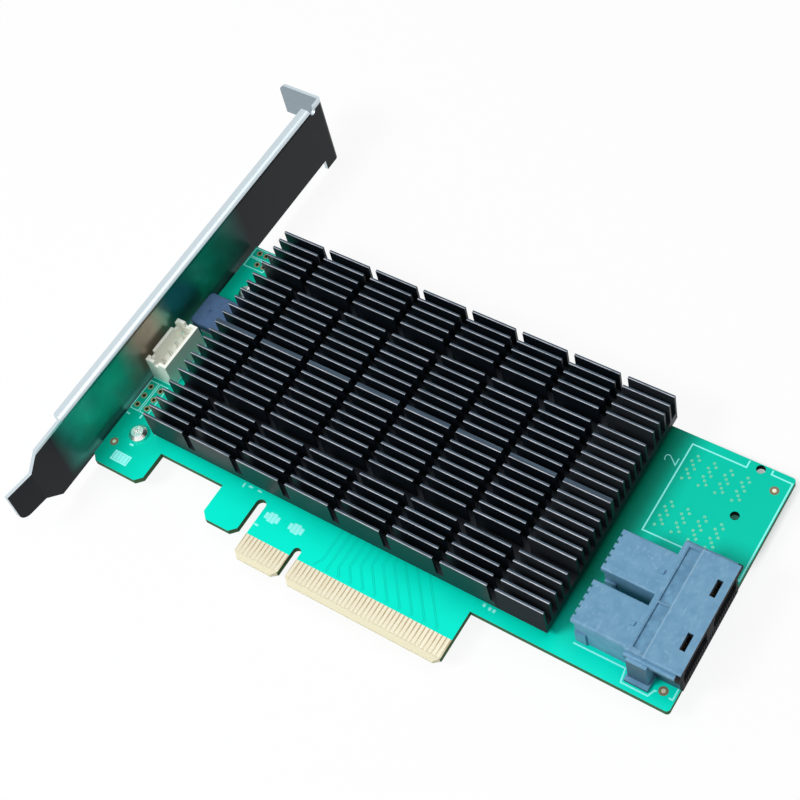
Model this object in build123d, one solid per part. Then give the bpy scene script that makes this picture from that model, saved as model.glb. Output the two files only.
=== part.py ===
"""Storage controller card: a low-profile board on a full-height bracket.

The frame: X runs along the board away from the bracket, Y runs from the edge
contacts towards the bracket's screw tab, and Z points to the component side.
The origin is on the centre line of the key notch, on the tip of the card edge,
at half the board's thickness. Everything is in millimetres.
"""

import os
from math import radians, tan

from build123d import *

# The board outline
BOARD_T = 1.57
BOARD_LEFT = -54.8
BOARD_RIGHT = 83.3
BOARD_TOP = 68.9
BOARD_STEP = 12.6
BOARD_CORNER_R = 0.8

# The card edge, with the key notch on the origin
EDGE_LEFT = -12.15
EDGE_RIGHT = 39.15
EDGE_CORNER = 1.3
EDGE_BEVEL_DEPTH = 0.4
EDGE_BEVEL_RUN = 1.1
KEY_WIDTH = 1.9
KEY_DEPTH = 7.95

# The retention hook beside the card edge, and the lobe beside the bracket
HOOK_SLOT = 2.45
HOOK_WIDTH = 9.05
HOOK_LOW = 4.15
HOOK_CORNER = 1.5
LOBE_WIDTH = 14.0
LOBE_LOW = 4.4
LOBE_CORNER = 1.5

# The edge contacts, numbered from the hook side of the card edge
PAD_PITCH = 1.0
PAD_WIDTH = 0.7
PAD_LOW = 1.3
PAD_HIGH = 5.6
PAD_T = 0.05
PADS_LEFT = 11
PADS_RIGHT = 38
PAD_FROM_KEY = 1.5

# The bracket
SHEET_T = 0.86
BEND_R = 0.5
BRACKET_GAP = 1.2
BRACKET_LENGTH = 120.02
BRACKET_WIDTH = 18.42
BRACKET_TOP = 104.4
EAR_DROP = 3.17
EAR_LENGTH = 4.9
SHOULDER_START = 10.7
TONGUE_WIDTH = 10.19
TONGUE_LENGTH = 6.9
TONGUE_LEAN = 8.0
TONGUE_TIP_R = 2.4
SCREW_TAB_DEPTH = 11.43
SCREW_TAB_CORNER_R = 2.0
SCREW_NOTCH_WIDTH = 4.42
SCREW_NOTCH_DEPTH = 5.6
SCREW_NOTCH_Z = 4.6
FLANGE_DEPTH = 1.75
FLANGE_LOW = 3.6
FLANGE_HIGH = 99.4
RELIEF_R = 0.9
FOOT_TAB_WIDTH = 9.0
FOOT_TAB_MARGIN = 3.75
FOOT_TAB_CORNER_R = 1.5

# The screws, all M2.5 with pan heads, and where the bracket's two go
BRACKET_SCREWS_Y = (14.15, 56.4)
SCREW_FROM_EDGE = 6.4
SHANK_R = 1.25
HEAD_R = 2.15
HEAD_HEIGHT = 1.5
HEAD_CHAMFER = 0.75
SCREW_TIP = 0.5
CROSS_WIDTH = 0.5
CROSS_DEPTH = 0.8
CROSS_SHARE = 0.5

# The heat sink: fin rows run along X, and cross cuts part them into columns
SINK_FROM_EDGE = 10.6
SINK_TO_PORT = 4.6
SINK_MID_Y = 42.57
SINK_LIFT = 2.1
SINK_BASE_T = 2.3
FIN_HEIGHT = 6.15
FIN_T = 0.55
MIDDLE_FIN_T = 1.15
FIN_PITCH = 2.35
MIDDLE_STEP = 2.6
CHANNEL_STEP = 3.5
INNER_FINS = 6
OUTER_FINS = 5
COLUMNS = 8
CROSS_CUT = 1.85

# The heat sink's fixings, put in from behind the board
SINK_FIX_INSET = 4.2
SPACER_R = 2.6
SINK_FIX_BITE = 1.4

# The controller and its neighbours under the heat sink
SUBSTRATE_SIZE = 31.0
SUBSTRATE_T = 1.0
LID_SIZE = 23.0
LID_T = 0.65
LID_CORNER = 0.8
PAD_INSET = 0.5

# The other small parts, each size as length, width and height
MEMORY_SIZE = (9.0, 13.0, 1.1)
MEMORY_FROM_CHIP = 29.0
MEMORY_STEP = 16.0
FLASH_SIZE = (5.3, 5.3, 1.6)
FLASH_FROM_CHIP = (-27.0, 12.0)
CLOCK_SIZE = (3.2, 2.5, 0.9)
CLOCK_FROM_CHIP = (-27.0, -10.0)
REGULATOR_SIZE = (5.0, 5.0, 0.9)
REGULATOR_FROM_CHIP = -36.0
REGULATOR_STEP = 13.0
COUPLING_SIZE = (0.55, 1.0, 0.5)
COUPLING_FIRST_X = 8.0
COUPLING_PITCH = 1.9
COUPLING_COUNT = 16
COUPLING_FROM_STEP = 2.0
DECOUPLING_SIZE = (1.6, 0.8, 0.8)
DECOUPLING_PITCH_X = 5.0
DECOUPLING_PITCH_Y = 4.0
DECOUPLING_COUNT = 4
RESISTOR_SIZE = (1.0, 0.5, 0.4)
RESISTOR_FIRST_X = 47.0
RESISTOR_PITCH = 2.0
RESISTOR_COUNT = 5
RESISTOR_ROWS_Y = (23.6, 59.9)

# The white fan header
HEADER_FROM_EDGE = 2.8
HEADER_Y = 34.3
HEADER_WIDTH = 5.75
HEADER_END = 2.45
HEADER_HEIGHT = 7.0
HEADER_WALL = 0.75
HEADER_FLOOR = 2.6
HEADER_PITCH = 2.5
HEADER_PINS = 4
HEADER_PIN = 0.64
HEADER_PIN_TOP = 6.0
HEADER_PIN_TAIL = 1.4
HEADER_NOTCH = 1.3
HEADER_NOTCH_DEPTH = 1.3
HEADER_HOLE_R = 0.53

# The moulded power inductor
COIL_FROM_EDGE = 5.2
COIL_Y = 46.9
COIL_SIZE = 8.8
COIL_HEIGHT = 4.4
COIL_CORNER = 0.7
COIL_CHAMFER = 0.3
COIL_DOT_R = 0.5
COIL_DOT_DEPTH = 0.2
COIL_DOT_FROM_MIDDLE = (-1.0, -0.4)
COIL_PLATE_T = 0.2
COIL_PLATE_WIDTH = 3.2
COIL_PLATE_HEIGHT = 2.2

# The port connector, whose mouths overhang the board's short edge
PORT_OVERHANG = 0.9
PORT_HEIGHT = 9.6
PORT_PITCH = 12.4
SHELL_MID_Y = 29.4
SHELL_DEPTH = 11.8
SHELL_WALL = 0.7
ROOF_T = 1.5
ROOF_OVERHANG = 1.1
ROOF_EDGE_R = 0.4
RAIL_OUT = 0.7
RAIL_T = 1.3
RAIL_DROP = 1.1
RAIL_EDGE_R = 0.3
LIP_SETBACK = 0.4
CAVITY_WIDTH = 9.6
CAVITY_HEIGHT = 5.3
CAVITY_DEPTH = 9.6
CAVITY_FLOOR = 2.7
LATCH_WIDTH = 3.9
LATCH_LENGTH = 1.2
LATCH_SETBACK = 1.5
RAMP_START = 1.25
RAMP_LENGTH = 2.9
RAMP_DROP = 0.45
RAMP_EDGE = 1.1
RIB_WIDTH = 0.5
COMB_PITCH = 0.75
COMB_GROOVE = 0.35
COMB_DEPTH = 0.5
COMB_HEIGHT = 2.0

# The two legs, which stand over the outer locating pegs
LEG_FROM_BACK = 0.9
LEG_LENGTH = 4.3
LEG_INNER = 10.0
LEG_OUTER = 12.9
LEG_PAD_T = 0.8
LEG_PAD_OUT = 1.0
LEG_PAD_EXTRA = 0.4

# The wafer blocks behind the shell, one for each port
WAFER_MID_Y = 28.1
WAFER_PITCH = 12.2
WAFER_WIDTH = 9.7
WAFER_LENGTH = 12.0
WAFER_HEIGHT = 9.1
WAFER_COVER_T = 1.2
WAFER_INSET = 0.4
WAFER_EDGE_R = 0.4
WAFER_TEETH = 6
TOOTH_GAP = 0.6
TOOTH_DEPTH = 0.5
FOOT_LENGTH = 2.4
FOOT_HEIGHT = 4.1
FOOT_OUT = 0.4
WEDGE_LENGTH = 1.3
WEDGE_WIDTH = 0.9
WEDGE_HEIGHT = 0.4
WEDGE_FROM_SHELL = 0.6

# The port's contacts, locating pegs and solder tails
CONTACTS_PER_ROW = 9
CONTACT_PITCH = 0.75
CONTACT_WIDTH = 0.35
CONTACT_T = 0.3
CONTACT_LENGTH = 6.0
PEG_FROM_BACK = 3.5
PEG_STEP = 12.0
PEG_R = 0.85
PEG_CLEARANCE = 0.15
PEG_PROUD = 0.3
TAIL_SIZE = 0.35
TAIL_LENGTH = 0.55
TAIL_COLUMN_PITCH = 3.75
TAIL_COLUMNS = 4
TAIL_INSET = 2.7
TAIL_STAGGER = 0.45
TAIL_PITCH = 0.85

# The empty second port: the same footprint, further along the edge
SECOND_PORT_STEP = 27.65

# Spare plated holes for plug-in leads
LEAD_HOLE_R = 0.4
LEAD_HOLE_PITCH = 2.54
LEAD_HOLES_X = (-53.75, -50.95)
LEAD_HOLES_LOW = 20.4
LEAD_ROW = 3
LAMP_PITCH = 1.9
LAMP_ROWS = ((-51.5, 64.5), (-52.8, 67.5))

# Clearance round what passes through a hole
HOLE_CLEARANCE = 0.15
FIT = 0.05

# The sides that stand for a circle, on what is seen and on what is small or hidden
ROUND_SIDES = 24
SMALL_SIDES = 12

# Values worked out from the sizes above
TOP = BOARD_T / 2
BACK = -BOARD_T / 2
FACE_IN = BOARD_LEFT - BRACKET_GAP
FACE_OUT = FACE_IN - SHEET_T
BRACKET_LOW_Z = BACK - SHEET_T
BRACKET_HIGH_Z = BRACKET_LOW_Z + BRACKET_WIDTH
BRACKET_END = BRACKET_TOP - BRACKET_LENGTH
BEND_OUT = BEND_R + SHEET_T
BRACKET_SCREW_X = BOARD_LEFT + SCREW_FROM_EDGE
HEADER_X = BOARD_LEFT + HEADER_FROM_EDGE
HEADER_LENGTH = (HEADER_PINS - 1) * HEADER_PITCH + 2 * HEADER_END
COIL_X = BOARD_LEFT + COIL_FROM_EDGE
PORT_FRONT = BOARD_RIGHT + PORT_OVERHANG
SHELL_BACK = PORT_FRONT - SHELL_DEPTH
SHELL_HALF = (PORT_PITCH + CAVITY_WIDTH) / 2 + SHELL_WALL
ROOF_HALF = SHELL_HALF + ROOF_OVERHANG
PORT_TOP = TOP + PORT_HEIGHT
ROOF_LOW = PORT_TOP - ROOF_T
CAVITY_LOW = TOP + CAVITY_FLOOR
CAVITY_HIGH = CAVITY_LOW + CAVITY_HEIGHT
PEG_X = SHELL_BACK + PEG_FROM_BACK
WAFER_BACK = SHELL_BACK - WAFER_LENGTH
SINK_LEFT = BOARD_LEFT + SINK_FROM_EDGE
SINK_RIGHT = WAFER_BACK - SINK_TO_PORT
SINK_LOW = TOP + SINK_LIFT
SINK_FLOOR = SINK_LOW + SINK_BASE_T
SINK_TOP = SINK_FLOOR + FIN_HEIGHT
CHIP_X = (SINK_LEFT + SINK_RIGHT) / 2
CHIP_Y = SINK_MID_Y


def block(x0, x1, y0, y1, z0, z1):
    """A box between two corners."""
    return Pos((x0 + x1) / 2, (y0 + y1) / 2, (z0 + z1) / 2) * Box(x1 - x0, y1 - y0, z1 - z0)


def rod(x, y, radius, z0, z1, sides=ROUND_SIDES):
    """An upright round bar, as a prism with its corners on the circle."""
    return Pos(x, y, z0) * extrude(RegularPolygon(radius, sides), z1 - z0)


def drill(x, y, radius, z0, z1, sides=ROUND_SIDES):
    """The cutter for a round hole, as a prism with its flats on the circle."""
    return Pos(x, y, z0) * extrude(RegularPolygon(radius, sides, major_radius=False), z1 - z0)


def plate(points, z0, z1):
    """An outline in the XY plane, made solid between two heights."""
    return extrude(Pos(0, 0, z0) * make_face(Polyline(points, close=True)), z1 - z0)


def chamfer_step(x, y, toward_x, size):
    """Two points that cut a corner at 45 degrees, ready for an outline."""
    return [(x, y + size), (x + toward_x * size, y)]


def centred(count, pitch, middle=0):
    """Evenly spaced places about a middle."""
    return [middle + (i - (count - 1) / 2) * pitch for i in range(count)]


# The holes through the board, each as x, y and radius

def bracket_screw_places():
    return [(BRACKET_SCREW_X, y) for y in BRACKET_SCREWS_Y]


def sink_fix_places():
    half = sink_half_width()
    x_low, x_high = SINK_LEFT + SINK_FIX_INSET, SINK_RIGHT - SINK_FIX_INSET
    y_low, y_high = SINK_MID_Y - half + SINK_FIX_INSET, SINK_MID_Y + half - SINK_FIX_INSET
    return [(x, y) for x in (x_low, x_high) for y in (y_low, y_high)]


def header_pin_places():
    return [(HEADER_X, y) for y in centred(HEADER_PINS, HEADER_PITCH, HEADER_Y)]


def peg_places(port_step):
    """Three pegs to a port: one in the middle and one under each leg."""
    return [(PEG_X, y) for y in centred(3, PEG_STEP, WAFER_MID_Y + port_step)]


def lead_hole_places():
    lead = [(x, LEAD_HOLES_LOW + i * LEAD_HOLE_PITCH) for x in LEAD_HOLES_X for i in range(LEAD_ROW)]
    lamp = [(x + step, y) for x, y in LAMP_ROWS for step in (0, LAMP_PITCH)]
    return lead + lamp


def hidden_holes():
    """The holes that screws, pins and leads go through."""
    screws = bracket_screw_places() + sink_fix_places()
    holes = [(x, y, SHANK_R + HOLE_CLEARANCE) for x, y in screws]
    holes += [(x, y, HEADER_HOLE_R) for x, y in header_pin_places()]
    return holes + [(x, y, LEAD_HOLE_R) for x, y in lead_hole_places()]


def peg_holes():
    """The peg holes of both ports, each as a true round hole."""
    places = peg_places(0) + peg_places(SECOND_PORT_STEP)
    return [Pos(x, y, 0) * Cylinder(PEG_R + PEG_CLEARANCE, 2 * BOARD_T) for x, y in places]


# The board

def board_outline():
    """The outline runs clockwise from the top corner beside the bracket."""
    hook_right = EDGE_LEFT - HOOK_SLOT
    hook_left = hook_right - HOOK_WIDTH
    lobe_right = BOARD_LEFT + LOBE_WIDTH
    key = KEY_WIDTH / 2
    points = [(BOARD_LEFT, BOARD_TOP), (BOARD_RIGHT, BOARD_TOP), (BOARD_RIGHT, BOARD_STEP)]
    points += [(EDGE_RIGHT, BOARD_STEP)] + chamfer_step(EDGE_RIGHT, 0, -1, EDGE_CORNER)
    points += chamfer_step(key, 0, 1, EDGE_CORNER)[::-1]
    points += chamfer_step(-key, 0, -1, EDGE_CORNER)
    points += chamfer_step(EDGE_LEFT, 0, 1, EDGE_CORNER)[::-1]
    points += [(EDGE_LEFT, BOARD_STEP), (hook_right, BOARD_STEP)]
    points += chamfer_step(hook_right, HOOK_LOW, -1, HOOK_CORNER)
    points += chamfer_step(hook_left, HOOK_LOW, 1, HOOK_CORNER)[::-1]
    points += [(hook_left, BOARD_STEP), (lobe_right, BOARD_STEP)]
    points += chamfer_step(lobe_right, LOBE_LOW, -1, LOBE_CORNER)
    points += chamfer_step(BOARD_LEFT, LOBE_LOW, 1, LOBE_CORNER)[::-1]
    return points


def edge_bevel(side):
    """The wedge taken off one face of the card edge, so that it slides into its socket."""
    face = side * BOARD_T / 2
    low = face - side * EDGE_BEVEL_DEPTH
    wedge = Polyline([(0, low), (0, face), (EDGE_BEVEL_RUN, face)], close=True)
    profile = Plane.YZ.offset(EDGE_LEFT - 1) * make_face(wedge)
    return extrude(profile, EDGE_RIGHT - EDGE_LEFT + 2)


def circuit_board():
    board = plate(board_outline(), BACK, TOP)
    corners = board.edges().filter_by(Axis.Z).group_by(Axis.X)[-1]
    board = fillet(corners, BOARD_CORNER_R)
    key_r = KEY_WIDTH / 2
    board -= block(-key_r, key_r, -1, KEY_DEPTH - key_r, BACK - 1, TOP + 1)
    board -= drill(0, KEY_DEPTH - key_r, key_r, BACK - 1, TOP + 1)
    slot_r = HOOK_SLOT / 2
    board -= drill(EDGE_LEFT - slot_r, BOARD_STEP, slot_r, BACK - 1, TOP + 1)
    board -= edge_bevel(1)
    board -= edge_bevel(-1)
    for x, y, radius in hidden_holes():
        board -= drill(x, y, radius, BACK - 1, TOP + 1, SMALL_SIDES)
    for hole in peg_holes():
        board -= hole
    return board


def pad_places():
    left = [-PAD_FROM_KEY - i * PAD_PITCH for i in range(PADS_LEFT)]
    right = [PAD_FROM_KEY + i * PAD_PITCH for i in range(PADS_RIGHT)]
    return left + right


def edge_contacts(z0, z1):
    half = PAD_WIDTH / 2
    return Compound([block(x - half, x + half, PAD_LOW, PAD_HIGH, z0, z1) for x in pad_places()])


# The bracket

def fold_room(y0, y1, z0, z1):
    """The part of the flat face that a fold takes the place of."""
    return block(FACE_OUT - 1, FACE_IN + 1, y0, y1, z0, z1)


def bracket_face():
    """The flat sheet, from the screw tab down to the shoulders above the tongue."""
    low, high = BRACKET_LOW_Z, BRACKET_HIGH_Z
    shoulder_y = BRACKET_END + SHOULDER_START
    neck_y = BRACKET_END + TONGUE_LENGTH
    step = (BRACKET_WIDTH - TONGUE_WIDTH) / 2
    points = [(BRACKET_TOP, high), (BRACKET_TOP, low - EAR_DROP)]
    points += [(BRACKET_TOP - EAR_LENGTH, low - EAR_DROP), (BRACKET_TOP - EAR_LENGTH, low)]
    points += [(shoulder_y, low), (neck_y, low + step), (neck_y, high - step), (shoulder_y, high)]
    profile = Plane.YZ.offset(FACE_OUT) * make_face(Polyline(points, close=True))
    face = extrude(profile, SHEET_T)
    relief_y = FLANGE_HIGH + RELIEF_R
    relief = Rot(0, 90, 0) * Cylinder(RELIEF_R, 4 * SHEET_T)
    face -= Pos(FACE_OUT, relief_y, high - RELIEF_R) * relief
    return face - fold_room(relief_y - RELIEF_R, relief_y + RELIEF_R, high - RELIEF_R, high + 1)


def bracket_tongue():
    """The lower tongue leans out a little, so that it finds its slot in the case."""
    neck_y = BRACKET_END + TONGUE_LENGTH
    lean = TONGUE_LENGTH * tan(radians(TONGUE_LEAN))
    middle = (BRACKET_LOW_Z + BRACKET_HIGH_Z) / 2
    low, high = middle - TONGUE_WIDTH / 2, middle + TONGUE_WIDTH / 2
    points = [(FACE_IN, neck_y), (FACE_OUT, neck_y)]
    points += [(FACE_OUT - lean, BRACKET_END), (FACE_IN - lean, BRACKET_END)]
    tongue = plate(points, low, high)
    tip = tongue.edges().filter_by(Axis.X).group_by(Axis.Y)[0]
    return fillet(tip.sort_by(Axis.Z)[0], TONGUE_TIP_R)


def fold_profile(reach):
    """A right-angle fold in the sheet, its outer corner on the origin.

    One leg runs to -x for the given reach, and the other stops where the fold ends.
    """
    centre = (-BEND_OUT, -BEND_OUT)
    line = Line((-reach, 0), (-BEND_OUT, 0)) + CenterArc(centre, BEND_OUT, 0, 90)
    line += Line((0, -BEND_OUT), (-SHEET_T, -BEND_OUT)) + CenterArc(centre, BEND_R, 0, 90)
    line += Line((-BEND_OUT, -SHEET_T), (-reach, -SHEET_T)) + Line((-reach, -SHEET_T), (-reach, 0))
    return make_face(line)


def bracket_flange():
    """The stiffening flange, turned outwards along the component side."""
    reach = FLANGE_DEPTH + SHEET_T
    strip = extrude(Plane.XZ * fold_profile(reach), -(FLANGE_HIGH - FLANGE_LOW))
    corner = strip.edges().filter_by(Axis.Z).sort_by(Axis.X)[:2].sort_by(Axis.Y)[0]
    return Pos(FACE_IN, FLANGE_LOW, BRACKET_HIGH_Z) * fillet(corner, FLANGE_DEPTH / 2)


def screw_tab():
    """The tab at the top, folded outwards, with an open notch for the case screw."""
    low, high = BRACKET_LOW_Z - EAR_DROP, BRACKET_HIGH_Z
    end = FACE_OUT - SCREW_TAB_DEPTH
    tab = extrude(Pos(FACE_IN, BRACKET_TOP, low) * fold_profile(FACE_IN - end), high - low)
    corners = tab.edges().filter_by(Axis.Y).sort_by(Axis.X)[:2]
    tab = fillet(corners, SCREW_TAB_CORNER_R)
    half = SCREW_NOTCH_WIDTH / 2
    floor = end + SCREW_NOTCH_DEPTH - half
    y0, y1 = BRACKET_TOP - 2 * SHEET_T, BRACKET_TOP + SHEET_T
    tab -= block(end - 1, floor, y0, y1, SCREW_NOTCH_Z - half, SCREW_NOTCH_Z + half)
    round_end = Pos(floor, BRACKET_TOP, SCREW_NOTCH_Z) * Rot(90, 0, 0) * Cylinder(half, 4 * SHEET_T)
    return tab - round_end


def foot_tab(y):
    """One of the tabs folded in under the board, which take the bracket screws."""
    reach = BRACKET_SCREW_X + FOOT_TAB_MARGIN - FACE_OUT
    strip = extrude(Plane.XZ * fold_profile(reach), -FOOT_TAB_WIDTH)
    tab = Pos(FACE_OUT, y - FOOT_TAB_WIDTH / 2, BRACKET_LOW_Z) * Rot(0, 180, 0) * strip
    corners = tab.edges().filter_by(Axis.Z).sort_by(Axis.X)[-2:]
    tab = fillet(corners, FOOT_TAB_CORNER_R)
    return tab - drill(BRACKET_SCREW_X, y, SHANK_R + FIT, BRACKET_LOW_Z - 1, BACK + 1, SMALL_SIDES)


def bracket():
    low, high = BRACKET_LOW_Z, BRACKET_HIGH_Z
    body = bracket_face() + bracket_tongue()
    body -= fold_room(FLANGE_LOW, FLANGE_HIGH, high - BEND_OUT, high + 1)
    body -= fold_room(BRACKET_TOP - BEND_OUT, BRACKET_TOP + 1, low - EAR_DROP - 1, high + 1)
    body += bracket_flange() + screw_tab()
    for _, y in bracket_screw_places():
        half = FOOT_TAB_WIDTH / 2
        body -= fold_room(y - half, y + half, low - 1, low + BEND_OUT)
        body += foot_tab(y)
    return body


# Screws

def pan_head():
    """A pan head, flat below, standing on z = 0."""
    head = rod(0, 0, HEAD_R, 0, HEAD_HEIGHT)
    head = chamfer(head.faces().sort_by(Axis.Z)[-1].edges(), HEAD_CHAMFER)
    reach, half = HEAD_R * CROSS_SHARE, CROSS_WIDTH / 2
    floor, top = HEAD_HEIGHT - CROSS_DEPTH, HEAD_HEIGHT + 1
    for turn in (0, 90):
        head -= Rot(0, 0, turn) * block(-reach, reach, -half, half, floor, top)
    return head


def bracket_screws():
    screws = []
    for x, y in bracket_screw_places():
        head = Pos(x, y, TOP) * pan_head()
        shank = rod(x, y, SHANK_R, BRACKET_LOW_Z - SCREW_TIP, TOP, SMALL_SIDES)
        screws.append(head + shank)
    return Compound(screws)


def heat_sink_screws():
    screws = []
    for x, y in sink_fix_places():
        head = Pos(x, y, BACK) * Rot(180, 0, 0) * pan_head()
        shank = rod(x, y, SHANK_R, BACK, SINK_LOW + SINK_FIX_BITE, SMALL_SIDES)
        screws.append(head + shank)
    return Compound(screws)


# The heat sink

def fin_rows():
    """Each fin row as its middle and its thickness, from the card edge side up."""
    inner = [MIDDLE_STEP + i * FIN_PITCH for i in range(INNER_FINS)]
    outer = [inner[-1] + CHANNEL_STEP + i * FIN_PITCH for i in range(OUTER_FINS)]
    far_side = [(SINK_MID_Y + d, FIN_T) for d in inner + outer]
    near_side = [(SINK_MID_Y - d, FIN_T) for d in inner + outer]
    return near_side[::-1] + [(SINK_MID_Y, MIDDLE_FIN_T)] + far_side


def sink_half_width():
    rows = fin_rows()
    return rows[-1][0] + FIN_T / 2 - SINK_MID_Y


def heat_sink():
    """One extrusion of base and fins, cross cut into columns."""
    half = sink_half_width()
    points = [(SINK_MID_Y + half, SINK_LOW), (SINK_MID_Y - half, SINK_LOW)]
    for y, thick in fin_rows():
        points += [(y - thick / 2, SINK_FLOOR), (y - thick / 2, SINK_TOP)]
        points += [(y + thick / 2, SINK_TOP), (y + thick / 2, SINK_FLOOR)]
    outline = [p for i, p in enumerate(points) if i not in (2, len(points) - 1)]
    comb = make_face(Polyline(outline, close=True))
    sink = extrude(Plane.YZ.offset(SINK_LEFT) * comb, SINK_RIGHT - SINK_LEFT)
    pitch = (SINK_RIGHT - SINK_LEFT + CROSS_CUT) / COLUMNS
    y0, y1 = SINK_MID_Y - half - 1, SINK_MID_Y + half + 1
    cuts = [SINK_LEFT + i * pitch - CROSS_CUT for i in range(1, COLUMNS)]
    for x in cuts:
        sink -= block(x, x + CROSS_CUT, y0, y1, SINK_FLOOR, SINK_TOP + 1)
    for x, y in sink_fix_places():
        sink -= drill(x, y, SHANK_R + FIT, SINK_LOW - 1, SINK_LOW + SINK_FIX_BITE, SMALL_SIDES)
    return sink


def heat_sink_spacers():
    """Six-sided spacers, drilled through for the screws."""
    spacers = []
    bore_r = SHANK_R + HOLE_CLEARANCE
    for x, y in sink_fix_places():
        spacer = rod(x, y, SPACER_R, TOP, SINK_LOW, 6)
        spacers.append(spacer - drill(x, y, bore_r, TOP - 1, SINK_LOW + 1, SMALL_SIDES))
    return Compound(spacers)


# The controller stack and the small parts

def square_chip(x, y, size, z0, z1):
    half = size / 2
    return block(x - half, x + half, y - half, y + half, z0, z1)


def controller_substrate():
    return square_chip(CHIP_X, CHIP_Y, SUBSTRATE_SIZE, TOP, TOP + SUBSTRATE_T)


def controller_lid():
    z0 = TOP + SUBSTRATE_T
    lid = square_chip(CHIP_X, CHIP_Y, LID_SIZE, z0, z0 + LID_T)
    return chamfer(lid.edges().filter_by(Axis.Z), LID_CORNER)


def thermal_pad():
    """The soft pad fills what is left between the lid and the heat sink."""
    return square_chip(CHIP_X, CHIP_Y, LID_SIZE - 2 * PAD_INSET, TOP + SUBSTRATE_T + LID_T, SINK_LOW)


def front_chip(x, y, size):
    """A small flat part on the component side."""
    length, width, height = size
    return block(x - length / 2, x + length / 2, y - width / 2, y + width / 2, TOP, TOP + height)


def back_chip(x, y, size):
    """A small flat part on the other side of the board."""
    length, width, height = size
    return block(x - length / 2, x + length / 2, y - width / 2, y + width / 2, BACK - height, BACK)


def memory_chips():
    x = CHIP_X + MEMORY_FROM_CHIP
    return Compound([front_chip(x, y, MEMORY_SIZE) for y in centred(2, MEMORY_STEP, CHIP_Y)])


def flash_chip():
    dx, dy = FLASH_FROM_CHIP
    return front_chip(CHIP_X + dx, CHIP_Y + dy, FLASH_SIZE)


def clock_oscillator():
    dx, dy = CLOCK_FROM_CHIP
    return front_chip(CHIP_X + dx, CHIP_Y + dy, CLOCK_SIZE)


def voltage_regulators():
    x = CHIP_X + REGULATOR_FROM_CHIP
    return Compound([front_chip(x, y, REGULATOR_SIZE) for y in centred(2, REGULATOR_STEP, CHIP_Y)])


def coupling_capacitors():
    """One beside each lane between the edge contacts and the controller."""
    y = BOARD_STEP + COUPLING_FROM_STEP
    places = [COUPLING_FIRST_X + i * COUPLING_PITCH for i in range(COUPLING_COUNT)]
    return Compound([back_chip(x, y, COUPLING_SIZE) for x in places])


def decoupling_capacitors():
    """A square field behind the controller."""
    places = [
        (x, y)
        for x in centred(DECOUPLING_COUNT, DECOUPLING_PITCH_X, CHIP_X)
        for y in centred(DECOUPLING_COUNT, DECOUPLING_PITCH_Y, CHIP_Y)
    ]
    return Compound([back_chip(x, y, DECOUPLING_SIZE) for x, y in places])


def resistors():
    """Two short rows between the controller and the ports."""
    places = [
        (RESISTOR_FIRST_X + i * RESISTOR_PITCH, y)
        for y in RESISTOR_ROWS_Y
        for i in range(RESISTOR_COUNT)
    ]
    return Compound([back_chip(x, y, RESISTOR_SIZE) for x, y in places])


# The fan header

def fan_header_housing():
    x0, x1 = HEADER_X - HEADER_WIDTH / 2, HEADER_X + HEADER_WIDTH / 2
    y0, y1 = HEADER_Y - HEADER_LENGTH / 2, HEADER_Y + HEADER_LENGTH / 2
    top, floor = TOP + HEADER_HEIGHT, TOP + HEADER_FLOOR
    housing = block(x0, x1, y0, y1, TOP, top)
    wall = HEADER_WALL
    housing -= block(x0 + wall, x1 - wall, y0 + wall, y1 - wall, floor, top + 1)
    notch = HEADER_NOTCH / 2
    sill = top - HEADER_NOTCH_DEPTH
    housing -= block(HEADER_X - notch, HEADER_X + notch, y0 - 1, y1 + 1, sill, top + 1)
    for y in (y0 + wall + HEADER_PITCH / 2, y1 - wall - HEADER_PITCH / 2):
        housing -= block(x0 - 1, x0 + wall + FIT, y - notch, y + notch, sill, top + 1)
    half = HEADER_PIN / 2
    for x, y in header_pin_places():
        housing -= block(x - half, x + half, y - half, y + half, TOP - 1, floor + 1)
    return housing


def fan_header_pins():
    half = HEADER_PIN / 2
    z0, z1 = BACK - HEADER_PIN_TAIL, TOP + HEADER_PIN_TOP
    pins = [block(x - half, x + half, y - half, y + half, z0, z1) for x, y in header_pin_places()]
    return Compound(pins)


# The power inductor

def power_inductor():
    body = square_chip(COIL_X, COIL_Y, COIL_SIZE, TOP, TOP + COIL_HEIGHT)
    body = chamfer(body.edges().filter_by(Axis.Z), COIL_CORNER)
    body = chamfer(body.faces().sort_by(Axis.Z)[-1].edges(), COIL_CHAMFER)
    top = TOP + COIL_HEIGHT
    dx, dy = COIL_DOT_FROM_MIDDLE
    return body - drill(COIL_X + dx, COIL_Y + dy, COIL_DOT_R, top - COIL_DOT_DEPTH, top + 1, SMALL_SIDES)


def inductor_terminals():
    half = COIL_SIZE / 2
    plates = []
    for side in (-1, 1):
        near, far = sorted((COIL_Y + side * half, COIL_Y + side * (half + COIL_PLATE_T)))
        x0, x1 = COIL_X - COIL_PLATE_WIDTH / 2, COIL_X + COIL_PLATE_WIDTH / 2
        plates.append(block(x0, x1, near, far, TOP, TOP + COIL_PLATE_HEIGHT))
    return Compound(plates)


# The port connector

def port_cavities():
    """The two mouths, open to the front."""
    half = CAVITY_WIDTH / 2
    x0, x1 = PORT_FRONT - CAVITY_DEPTH, PORT_FRONT + 1
    places = centred(2, PORT_PITCH, SHELL_MID_Y)
    return [block(x0, x1, y - half, y + half, CAVITY_LOW, CAVITY_HIGH) for y in places]


def latch_slots():
    """The slots through the roof that a plug's latch hooks into."""
    x1 = PORT_FRONT - LATCH_SETBACK
    x0, half = x1 - LATCH_LENGTH, LATCH_WIDTH / 2
    places = centred(2, PORT_PITCH, SHELL_MID_Y)
    return [block(x0, x1, y - half, y + half, CAVITY_HIGH - FIT, PORT_TOP + 1) for y in places]


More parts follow.
